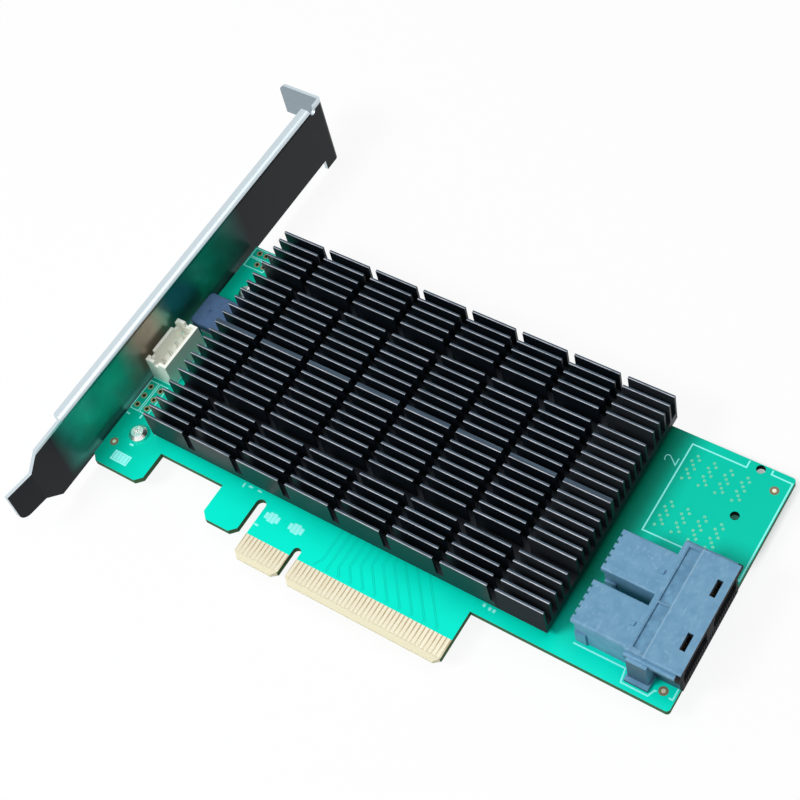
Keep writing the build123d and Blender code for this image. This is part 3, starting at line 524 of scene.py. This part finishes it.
def make_connector():
    """Blue-grey, with scuffs. Masks by place give the crown painted shade in its sunken band
    and a painted highlight on its thin ridge, paint shade on the low side about the leg, and
    paint the mouths, latch slots and lip black as shade."""
    look = BLUE_GREY, PALE_BLUE_GREY, CONNECTOR_ROUGHNESS, CONNECTOR_GRAIN, 0.008
    finish = moulded("connector_blue_grey", *look)
    x, y, z = finish.place()
    scuffs = finish.noise(1.6, 6.0, stretch=(1, 2, 1)).ramp(0.56, 0.75) * 0.35
    plastic = finish.blend(scuffs, finish.drift, SCUFF_BLUE)
    # Painted shade in the crown's sunken band, and a painted highlight on its thin ridge.
    level = z.above(port_high[2] - CROWN_SKIN)
    sunken_shade = x.between(GROOVE_X, RIDGE_X) * level * finish.noise(0.5).ramp(0.35, 0.6)
    plastic = finish.blend(sunken_shade * 0.6, plastic, SUNKEN_SHADE_BLUE)
    ridge_highlight = x.band(RIDGE_X, RIDGE_HALF) * level
    plastic = finish.blend(ridge_highlight * 0.4, plastic, RIDGE_HIGHLIGHT_BLUE)
    # Painted shade on the low side about the leg.
    in_shade = 1 - finish.facing()[1].above(-0.5)
    in_shade = in_shade * x.above(LEG_BACK_X) * z.below(LEG_TOP_Z)
    plastic = finish.blend(in_shade * 0.8, plastic, SHADE_BLUE)
    # Painted shade: the mouths, the latch slots and the lower lip are painted black.
    low, high = MOUTHS_Y
    mouths = y.band(low, MOUTH_HALF).either(y.band(high, MOUTH_HALF)) * z.between(*MOUTH_Z)
    mouths = mouths * x.above(port_high[0] - MOUTH_DEPTH)
    slots = y.band(low, LATCH_HALF).either(y.band(high, LATCH_HALF)) * x.between(*LATCH_X)
    lip = x.above(port_high[0] - LIP_T)
    black = mouths.either(slots).either(lip) * z.below(port_high[2] - ROOF_EDGE)
    finish.feed("Base Color", finish.blend(black, plastic, CAVITY_SHADE_BLACK))
    grain = finish.noise(CONNECTOR_GRAIN)
    finish.feed("Roughness", grain * 0.2 + black * 0.45 + (CONNECTOR_ROUGHNESS - 0.1))
    return finish


connector = make_connector()
paint(connector, "port_housing", "port_wafer_block_1", "port_wafer_block_2", "port_pegs")
print("connector nodes", len(connector.tree.nodes))

# %% [markdown]
# ## Thin layers on the board
# Print, tracks and plating are layers a few hundredths of a millimetre thick. Each is a set
# of flat boxes, ribbons or rings lying on the resist. The helpers below work on whole arrays
# of corners at once.

# %% Mesh from arrays, and straight strokes
PRINT_T = 0.02
LAYER_GAP = 0.001
FACE = BOARD_TOP_Z + LAYER_GAP
REAR = -BOARD_TOP_Z - LAYER_GAP - PRINT_T


def mesh_piece(name, corners, faces, finish, slot):
    """A mesh object from arrays of corners, in millimetres, and of four-cornered faces."""
    mesh = bpy.data.meshes.new(name)
    mesh.from_pydata((np.asarray(corners) * MM).tolist(), [], np.asarray(faces).tolist())
    mesh.materials.append(finish.material)
    mesh.update()
    piece = bpy.data.objects.new(name, mesh)
    bpy.context.scene.collection.objects.link(piece)
    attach(piece, BODY)
    print(name, len(mesh.vertices), "corners", len(mesh.polygons), "faces")
    return piece


BOX_FACES = np.array([
    (3, 2, 1, 0), (4, 5, 6, 7), (0, 1, 5, 4), (1, 2, 6, 5), (2, 3, 7, 6), (3, 0, 4, 7),
])


def stroke_boxes(strokes, width, base_z, thickness=PRINT_T):
    """Each stroke runs between two points. Its box is that line moved half the width to both
    sides, lengthened by half the width at both ends, and raised by the thickness."""
    ends = np.asarray(strokes, float).reshape(-1, 2, 2)
    along = ends[:, 1] - ends[:, 0]
    along = along / np.linalg.norm(along, axis=1, keepdims=True) * (width / 2)
    across = np.stack([-along[:, 1], along[:, 0]], axis=1)
    start, end = ends[:, 0] - along, ends[:, 1] + along
    ring = np.stack([start - across, end - across, end + across, start + across], axis=1)
    low = np.concatenate([ring, np.full(ring.shape[:2] + (1,), base_z)], axis=2)
    high = low + np.array([0.0, 0.0, thickness])
    corners = np.concatenate([low, high], axis=1).reshape(-1, 3)
    faces = (BOX_FACES[None] + np.arange(len(ends))[:, None, None] * 8).reshape(-1, 4)
    return corners, faces


# %% Rings
def ring_sheets(centres, inner, outer, base_z, sides=24, thickness=PRINT_T):
    """Rings about the centres: two circles on top and two below, joined all round."""
    angle = np.arange(sides) * 2 * pi / sides
    circle = np.stack([np.cos(angle), np.sin(angle)], axis=1)
    loops = np.stack([circle * outer, circle * outer, circle * inner, circle * inner])
    heights = np.array([base_z, base_z + thickness, base_z + thickness, base_z])
    heights = np.broadcast_to(heights[:, None, None], (4, sides, 1))
    one = np.concatenate([loops, heights], axis=2)
    shift = np.pad(np.asarray(centres, float), ((0, 0), (0, 1)))
    corners = (one.reshape(1, -1, 3) + shift[:, None, :]).reshape(-1, 3)
    row, step = np.meshgrid(np.arange(4), np.arange(sides), indexing="ij")
    after, over = (step + 1) % sides, (row + 1) % 4
    here, there = row * sides, over * sides
    quads = np.stack([here + step, here + after, there + after, there + step], axis=2)
    first = np.arange(len(shift))[:, None, None] * 4 * sides
    faces = (quads.reshape(1, -1, 4) + first).reshape(-1, 4)
    return corners, faces


# %% Ribbons along bent tracks
def ribbon_boxes(tracks, width, base_z, thickness=PRINT_T):
    """Every track has the same number of points. At each point the ribbon's two sides lie half
    a width out along the mitre: the sum of the neighbouring runs' side vectors, over 1 plus
    their dot product. Top and bottom rows of sides are joined into one closed strip."""
    line = np.asarray(tracks, float)
    run = np.diff(line, axis=1)
    run = run / np.linalg.norm(run, axis=2, keepdims=True)
    side = np.stack([-run[..., 1], run[..., 0]], axis=2)
    before = np.concatenate([side[:, :1], side], axis=1)
    after = np.concatenate([side, side[:, -1:]], axis=1)
    mitre = (before + after) / (1 + (before * after).sum(axis=2, keepdims=True)) * width / 2
    flat = np.stack([line - mitre, line + mitre, line + mitre, line - mitre], axis=2)
    heights = np.array([base_z, base_z, base_z + thickness, base_z + thickness])
    heights = np.broadcast_to(heights[:, None], flat.shape[:3] + (1,))
    corners = np.concatenate([flat, heights], axis=3)
    count, points = line.shape[:2]
    start = np.arange(points - 1)[:, None] * 4
    turn = np.arange(4)[None]
    beyond = (turn + 1) % 4
    ring = [start + turn, start + beyond, start + beyond + 4, start + turn + 4]
    quads = np.stack(ring, axis=2)
    last = points * 4 - 4
    caps = np.array([(3, 2, 1, 0), (last, last + 1, last + 2, last + 3)])
    one = np.concatenate([quads.reshape(-1, 4), caps])
    faces = (one[None] + np.arange(count)[:, None, None] * points * 4).reshape(-1, 4)
    return corners.reshape(-1, 3), faces


# %% [markdown]
# ### Painted highlights on the fin edges
# A thin bright strip along the front edge of each fin top is a painted highlight: a fine line
# where the edge catches the light. The fin tops are found in the heat sink's own mesh: a top
# face's box is its fin's outline.

# %% Fin edge highlights from the sink's mesh
EDGE_W, EDGE_T = 0.2, 0.012


def fin_tops():
    """The boxes of all flat faces at the sink's full height, as x0, y0, x1, y1."""
    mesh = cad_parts["heat_sink"].data
    points = np.empty(len(mesh.vertices) * 3)
    mesh.vertices.foreach_get("co", points)
    corners = np.empty(len(mesh.loops), int)
    mesh.loops.foreach_get("vertex_index", corners)
    triangles = points.reshape(-1, 3)[corners].reshape(-1, 3, 3) / MM
    flat = triangles[(triangles[:, :, 2] > sink_high[2] - TOP_SKIN).all(axis=1)]
    boxes = np.hstack([flat.min(axis=1)[:, :2], flat.max(axis=1)[:, :2]])
    return np.unique(boxes.round(2), axis=0)


def make_fin_edge_highlight():
    """A painted highlight; noise drawn out along the fins breaks the bright line up into light
    and dull lengths.
    """
    finish = Finish("painted_fin_edge_highlight", (0.40, 0.42, 0.46), 0.45, metallic=0.6)
    breaks = finish.noise(0.6, stretch=(2, 1, 1)).ramp(0.3, 0.75)
    finish.feed("Base Color", finish.blend(breaks, (0.24, 0.26, 0.29), (0.52, 0.53, 0.57)))
    finish.feed("Roughness", breaks * 0.1 + 0.4)
    return finish


# Painted highlight: a thin bright strip on the front edge of every fin top.
tops = fin_tops()
inset = EDGE_W / 2
starts = np.stack([tops[:, 0] + inset, tops[:, 1] + inset], axis=1)
stops = np.stack([tops[:, 2] - inset, tops[:, 1] + inset], axis=1)
edge_strokes = np.stack([starts, stops], axis=1)
mesh_piece(
    "fin_edge_highlights",
    *stroke_boxes(edge_strokes, EDGE_W, sink_high[2] + LAYER_GAP, EDGE_T),
    make_fin_edge_highlight(),
    "heat_sink_black",
)

# %% [markdown]
# ### The pale print
# The print outlines each port, boxes in the spare holes and marks a few places with filled
# patches. What was lettering stays plain: short bars and one numeral.

# %% Print along paths
LINE_W = 0.32
THIN_LINE_W = 0.24
PORT_BACK, PORT_EDGE = 60.9, 83.0
LEG_LEFT, LEG_RIGHT = 73.1, 78.3
INK, THIN_INK = (0.30, 1.0, 0.94), (0.18, 0.88, 0.78)


def joined(parts):
    """One mesh out of several: each part's faces count on from the corners before it."""
    before = np.cumsum([0] + [len(corners) for corners, faces in parts[:-1]])
    corners = np.concatenate([corners for corners, faces in parts])
    return corners, np.concatenate([faces + count for (_, faces), count in zip(parts, before)])


def path_ribbons(paths, width):
    """Each bent path is one mitred ribbon, so that no two strokes overlap at a corner."""
    return joined([ribbon_boxes([points], width, FACE) for points in paths])


def box_path(x0, y0, x1, y1):
    """A closed box, drawn from the middle of its lower side round to the same place."""
    middle = (x0 + x1) / 2
    return [(middle, y0), (x1, y0), (x1, y1), (x0, y1), (x0, y0), (middle, y0)]


def make_print_finish():
    """Pale ink; grains let a little of the green below it through."""
    finish = Finish("print_pale", INK, 0.5, specular=0.3)
    grain = finish.noise(3.0)
    inked = finish.blend(grain.ramp(0.5, 0.8) * 0.3, INK, THIN_INK)
    finish.feed("Base Color", inked)
    finish.feed("Roughness", grain * 0.2 + 0.4)
    return finish


# %% Print lines
print_finish = make_print_finish()
port_paths = [
    [(70.0, 44.6), (PORT_BACK, 44.5), (PORT_BACK, 66.85), (LEG_LEFT, 66.85), (LEG_LEFT, 68.6)],
    [(LEG_RIGHT, 68.6), (LEG_RIGHT, 67.6), (PORT_EDGE, 67.5), (PORT_EDGE, 43.2), (82.2, 43.2)],
    [(PORT_BACK - 0.3, 16.5), (72.0, 16.6), (72.5, 13.7), (LEG_RIGHT, 13.7), (79.0, 15.3),
     (79.4, 15.3)],
    [(82.0, 15.2), (82.85, 15.2), (82.85, 18.1)],
]
hole_boxes = [box_path(x - 1.1, 19.05, x + 1.1, 26.9) for x in (-53.6, -50.95)]
hole_boxes += [
    box_path(-54.4, 66.1, -48.9, 68.5),
    box_path(-54.4, 63.1, -48.9, 65.7),
    box_path(-54.6, 27.9, -48.9, 40.7),
]
lines = joined([path_ribbons(port_paths, LINE_W), path_ribbons(hole_boxes, THIN_LINE_W)])
mesh_piece("board_print_lines", *lines, print_finish, "header_ivory")

# %% The second port's numeral, drawn as one bent stroke, and the framed label place
numeral = np.array([
    (-1.0, 0.25), (-1.3, 0.6), (-1.3, 1.3), (-0.9, 1.6), (-0.4, 1.5), (1.3, 0.1), (1.3, 1.7),
])
NUMERAL_SIZE, NUMERAL_PLACE = (1.05, 1.1), (58.6, 60.6)
numeral_track = numeral * np.array(NUMERAL_SIZE) + np.array(NUMERAL_PLACE)
numeral_mesh = path_ribbons([numeral_track], THIN_LINE_W)
mesh_piece("port_numeral", *numeral_mesh, print_finish, "header_ivory")
LABEL_FRAME, LABEL_LINE_W = (-50.5, 6.45, -46.35, 8.55), 0.4
LABEL_BAR_X, LABEL_BAR_Y, LABEL_PITCH, LABEL_BAR_W = -49.78, (7.1, 7.9), 0.9, 0.82
label_x = [LABEL_BAR_X + i * LABEL_PITCH for i in range(4)]
label_bars = [[(x, y) for y in LABEL_BAR_Y] for x in label_x]
label_frame = path_ribbons([box_path(*LABEL_FRAME)], LABEL_LINE_W)
label = joined([label_frame, stroke_boxes(label_bars, LABEL_BAR_W, FACE)])
mesh_piece("board_label_place", *label, print_finish, "header_ivory")

# %% Patches of four bars, and small ticks
BARS = np.array([(-1.38, 0.3), (-0.46, 0.7), (0.46, 0.75), (1.38, 0.35)])
BAR_W = 0.85
PATCHES = ((-9.25, 11.1), (-3.15, 11.3))
patch_bars = [
    ((x + dx, y - half), (x + dx, y + half)) for x, y in PATCHES for dx, half in BARS
]
patch_mesh = stroke_boxes(patch_bars, BAR_W, FACE)
mesh_piece("board_patches", *patch_mesh, print_finish, "header_ivory")
TICK, TICK_W = 0.3, 0.42
DOT, DOT_W = 0.05, 0.6
DOTS = [(41.0, 15.1), (42.4, 14.9), (43.4, 14.9)]
upright = [(-50.9, 18.1), (-45.0, 16.2), (-19.4, 14.8)]
dots = [((x, y - DOT), (x, y + DOT)) for x, y in DOTS]
level = [(-54.2, 17.56), (-48.3, 11.3), (-11.4, 8.2), (-17.76, 15.1), (-15.4, 15.1)]
ticks = [((x, y - TICK), (x, y + TICK)) for x, y in upright]
ticks += [((x - TICK, y), (x + TICK, y)) for x, y in level]
tick_mesh = joined([stroke_boxes(ticks, TICK_W, FACE), stroke_boxes(dots, DOT_W, FACE)])
mesh_piece("board_print_ticks", *tick_mesh, print_finish, "header_ivory")

# %% [markdown]
# ### Plated rings and round marks
# Every hole for a lead has a ring of tinned copper on both sides of the board. The empty port
# has four groups of nine small ringed holes for each mouth. Three bare round marks in
# clearings of the resist help a machine to place the parts.

# %% Plated rings on both sides
def make_ring_copper():
    """Tinned copper, clouded from a pale to a dull brown."""
    finish = Finish("ring_copper", (0.42, 0.36, 0.20), 0.4, metallic=0.5)
    cloud = finish.noise(2.0)
    tinned = finish.blend(cloud.ramp(0.35, 0.75), (0.46, 0.42, 0.24), (0.30, 0.24, 0.13))
    finish.feed("Base Color", tinned)
    finish.feed("Roughness", cloud * 0.2 + 0.3)
    return finish


HOLES_X, HOLES_Y = (-53.75, -50.95), (20.4, 22.94, 25.48)
LAMP_HOLES, LAMP_PITCH = ((-51.5, 64.5), (-52.8, 67.5)), 1.9
PIN_X, PIN_MIDDLE_Y, PIN_PITCH = -52.0, 34.3, 2.5
VIA_ACROSS, VIA_ALONG = 0.69, 0.76
GROUP_X, GROUP_PITCH, GROUPS_Y = 63.22, 3.75, (49.72, 61.68)


def via_places():
    """Nine vias to a group: each is a step further along Y, and its place across goes round
    three columns. There are four groups for each mouth."""
    step = np.arange(9)
    across = ((step + 1) % 3 - 1) * VIA_ACROSS
    along = (4 - step) * VIA_ALONG
    centres = np.array([(GROUP_X + i * GROUP_PITCH, y) for y in GROUPS_Y for i in range(4)])
    group = np.stack([across, along], axis=1)
    return (centres[:, None] + group[None]).reshape(-1, 2)


def ring_piece(name, centres, radii, base_z, finish, **shape):
    """Equal rings as one piece."""
    mesh_piece(name, *ring_sheets(centres, *radii, base_z, **shape), finish, "contact_gold")


ring_copper = make_ring_copper()
lead_holes = [(x, y) for x in HOLES_X for y in HOLES_Y]
lead_holes += [(x + step, y) for x, y in LAMP_HOLES for step in (0.0, LAMP_PITCH)]
header_pins = [(PIN_X, PIN_MIDDLE_Y + (i - 1.5) * PIN_PITCH) for i in range(4)]
vias = via_places()
ring_piece("lead_hole_rings", lead_holes, (0.42, 0.74), FACE, ring_copper)
ring_piece("lead_hole_rings_rear", lead_holes + header_pins, (0.55, 0.9), REAR, ring_copper)
via_tin = make_plate("via_tin", (0.15, 0.46, 0.31), 0.5)
ring_piece("port_via_rings", vias, (0.1, 0.32), FACE, via_tin, sides=12)
ring_piece("port_via_rings_rear", vias, (0.1, 0.3), REAR, via_tin, sides=12)

# %% The round alignment marks
def make_bare_laminate():
    """The brown laminate in a clearing of the resist, a little grainy."""
    finish = Finish("bare_laminate", (0.26, 0.17, 0.09), 0.55)
    grain = finish.noise(2.0)
    brown = finish.blend(grain.ramp(0.4, 0.8), (0.22, 0.17, 0.10), (0.13, 0.12, 0.06))
    finish.feed("Base Color", brown)
    finish.bump(grain, 0.004)
    return finish


round_marks = [(-52.45, 10.2), (80.42, 64.5), (80.49, 16.0)]
ring_piece("alignment_dots", round_marks, (0.02, 0.45), FACE, gold)
mesh_piece(
    "alignment_clearings",
    *ring_sheets(round_marks, 0.45, 1.0, FACE, thickness=0.012),
    make_bare_laminate(),
    "solder_mask_green",
)

# %% [markdown]
# ## Tracks under the resist
# Copper tracks lie under the resist and show as faint raised lines in a slightly different
# green. Pairs leave the edge contacts, lean over, and go under the heat sink; on the rear they
# run straight to the small capacitors.

# %% Track ribbons
TRACK_W, TRACK_T = 0.2, 0.008
PAIR_GAP = 0.42
CONTACTS_OUT_Y, STRAIGHT_RUN = 6.1, 0.6
FIRST_PAIR_X, PAIR_PITCH = 5.0, 3.0
LEAN_FROM_X, LEAN_SHARE = 8.0, 0.34
UNDER_SINK_Y = 17.0
REAR_FIRST_X, REAR_PITCH, REAR_END_Y = 8.0, 1.9, 13.8
TRACK_GREEN = (0.0, 0.72, 0.54)
TRACK_LEFT, TRACK_RIGHT, TRACK_SHADE = (0.0, 0.74, 0.56), (0.0, 0.70, 0.52), (0.0, 0.58, 0.42)


def front_tracks():
    """Pairs of tracks leave every third contact, and lean towards the controller by a third of
    their distance."""
    pair = FIRST_PAIR_X + np.arange(11) * PAIR_PITCH
    start = np.stack([pair - PAIR_GAP / 2, pair + PAIR_GAP / 2], axis=1).reshape(-1)
    lean = (LEAN_FROM_X - pair.repeat(2)) * LEAN_SHARE
    rise = CONTACTS_OUT_Y + STRAIGHT_RUN
    bend = rise + np.abs(lean) * 1.2
    flat = np.full_like(start, CONTACTS_OUT_Y)
    x = np.stack([start, start, start + lean, start + lean], axis=1)
    end = np.maximum(bend + 1.0, UNDER_SINK_Y)
    y = np.stack([flat, flat * 0 + rise, bend + 0.2, end], axis=1)
    return np.stack([x, y], axis=2)


def rear_tracks():
    """Straight runs from the rear contacts to the small capacitors, side by side in pairs."""
    middle = REAR_FIRST_X + np.arange(16) * REAR_PITCH
    x = np.stack([middle - PAIR_GAP / 2, middle + PAIR_GAP / 2], axis=1).reshape(-1)
    y = np.full_like(x, CONTACTS_OUT_Y)
    points = [(x, y), (x, y + 2.0), (x, y * 0 + REAR_END_Y)]
    return np.stack([np.stack(point, axis=1) for point in points], axis=1)


def make_track_finish():
    """The resist's own green, a shade darker over the copper and clouded along its length."""
    finish = Finish("track_under_resist", TRACK_GREEN, 0.3, specular=0.08)
    x, y, z = finish.place()
    shade = finish.noise(0.2).ramp(0.3, 0.7)
    green = finish.blend(x.ramp(-20.0, 40.0), TRACK_LEFT, TRACK_RIGHT)
    finish.feed("Base Color", finish.blend(shade * 0.4, green, TRACK_SHADE))
    finish.feed("Roughness", shade * 0.1 + 0.28)
    return finish


track_finish = make_track_finish()
front_mesh = ribbon_boxes(front_tracks(), TRACK_W, FACE, TRACK_T)
mesh_piece("board_tracks", *front_mesh, track_finish, "solder_mask_green")
rear_mesh = ribbon_boxes(rear_tracks(), TRACK_W, REAR)
mesh_piece("board_tracks_rear", *rear_mesh, track_finish, "solder_mask_green")

# %% [markdown]
# ## Floor and light
# The photograph has a plain white ground. The floor and the world are white only to the
# camera and to reflections, so that they add no light of their own. The light on the card
# comes from a soft lamp beyond the card edge, a weaker one overhead and an even grey world.
# Together they light a level face at about the level where a colour renders as it is written.

# %% World
WORLD_LEVEL = 0.25
SKY, WHITE = (0.92, 0.96, 1.0, 1.0), (1.0, 1.0, 1.0, 1.0)


def make_world():
    """The background is grey for plain light, and white for the camera's rays and for glossy
    and see-through ones."""
    world = bpy.data.worlds.new("plain_world")
    bpy.context.scene.world = world
    world.use_nodes = True
    tree = world.node_tree
    tree.nodes.clear()
    rays = tree.nodes.new("ShaderNodeLightPath")
    seen = rays.outputs["Is Camera Ray"]
    for ray in ("Is Glossy Ray", "Is Transmission Ray"):
        either = tree.nodes.new("ShaderNodeMath")
        either.operation = "MAXIMUM"
        tree.links.new(seen, either.inputs[0])
        tree.links.new(rays.outputs[ray], either.inputs[1])
        seen = either.outputs[0]
    mix = tree.nodes.new("ShaderNodeMixShader")
    tree.links.new(seen, mix.inputs[0])
    for index, colour, strength in ((1, SKY, WORLD_LEVEL), (2, WHITE, 1.0)):
        background = tree.nodes.new("ShaderNodeBackground")
        background.inputs["Color"].default_value = colour
        background.inputs["Strength"].default_value = strength
        tree.links.new(background.outputs[0], mix.inputs[index])
    out = tree.nodes.new("ShaderNodeOutputWorld")
    tree.links.new(mix.outputs[0], out.inputs["Surface"])


make_world()
print("world level", WORLD_LEVEL)

# %% Floor
FLOOR_GAP = 0.0002
FLOOR_Z = min(cad_box[0][2], bracket_low[2] * MM) - FLOOR_GAP
FLOOR_HALF = 3.0
SHADOW_SHARE = 0.1
UNDER_PORT_X = (60.0, 66.0), (80.0, 84.0)
UNDER_PORT_Y = (48.0, 54.0), (70.5, 72.5)


def make_floor():
    """A wide sheet under the card: white to the camera, but for a share of the card's shadow
    and for the whole shadow close under the empty port's peg holes. It is clear from below."""
    s = FLOOR_HALF
    corners = [(-s, -s, FLOOR_Z), (s, -s, FLOOR_Z), (s, s, FLOOR_Z), (-s, s, FLOOR_Z)]
    mesh = bpy.data.meshes.new("floor")
    mesh.from_pydata(corners, [], [(0, 1, 2, 3)])
    floor = bpy.data.objects.new("floor", mesh)
    bpy.context.scene.collection.objects.link(floor)
    finish = Finish("floor_white", (0.9, 0.9, 0.9), 0.8)
    camera = finish.node("ShaderNodeLightPath", output="Is Camera Ray")
    glossy = finish.node("ShaderNodeLightPath", output="Is Glossy Ray")
    glow = finish.node("ShaderNodeEmission", None, {"Color": WHITE, "Strength": 1.0})
    shader = Value(finish, finish.shader.outputs[0])
    x, y, z = finish.place()
    under_port = x.stretch(*UNDER_PORT_X) * y.stretch(*UNDER_PORT_Y)
    shown = camera.either(glossy) * (1 - under_port) * (1 - SHADOW_SHARE)
    mixed = finish.node("ShaderNodeMixShader", None, {0: shown, 1: shader, 2: glow})
    from_below = finish.node("ShaderNodeNewGeometry", output="Backfacing")
    clear = finish.node("ShaderNodeBsdfTransparent")
    mixed = finish.node("ShaderNodeMixShader", None, {0: from_below, 1: mixed, 2: clear})
    output = finish.tree.nodes["Material Output"]
    finish.tree.links.new(mixed.socket, output.inputs["Surface"])
    mesh.materials.append(finish.material)


make_floor()
print("floor at", round(FLOOR_Z / MM, 2), "mm")

# %% Lamps
AIM = (0.01, 0.04, 0.0)


def make_lamp(name, place, size, power):
    """A round soft lamp at a place in metres, turned to the card's middle. Its size is its
    width in metres, and its power is in watts."""
    data = bpy.data.lights.new(name, "AREA")
    data.shape = "DISK"
    data.size = size
    data.energy = power
    lamp = bpy.data.objects.new(name, data)
    lamp.location = place
    lamp.rotation_euler = (Vector(AIM) - Vector(place)).to_track_quat("-Z", "Y").to_euler()
    bpy.context.scene.collection.objects.link(lamp)
    print(name, power, "W")


make_lamp("overhead", (0.1, 0.15, 0.9), 0.7, 2.6)
make_lamp("front_left", (-0.35, -0.55, 0.85), 0.4, 7.8)
bpy.context.scene.view_settings.view_transform = "Standard"
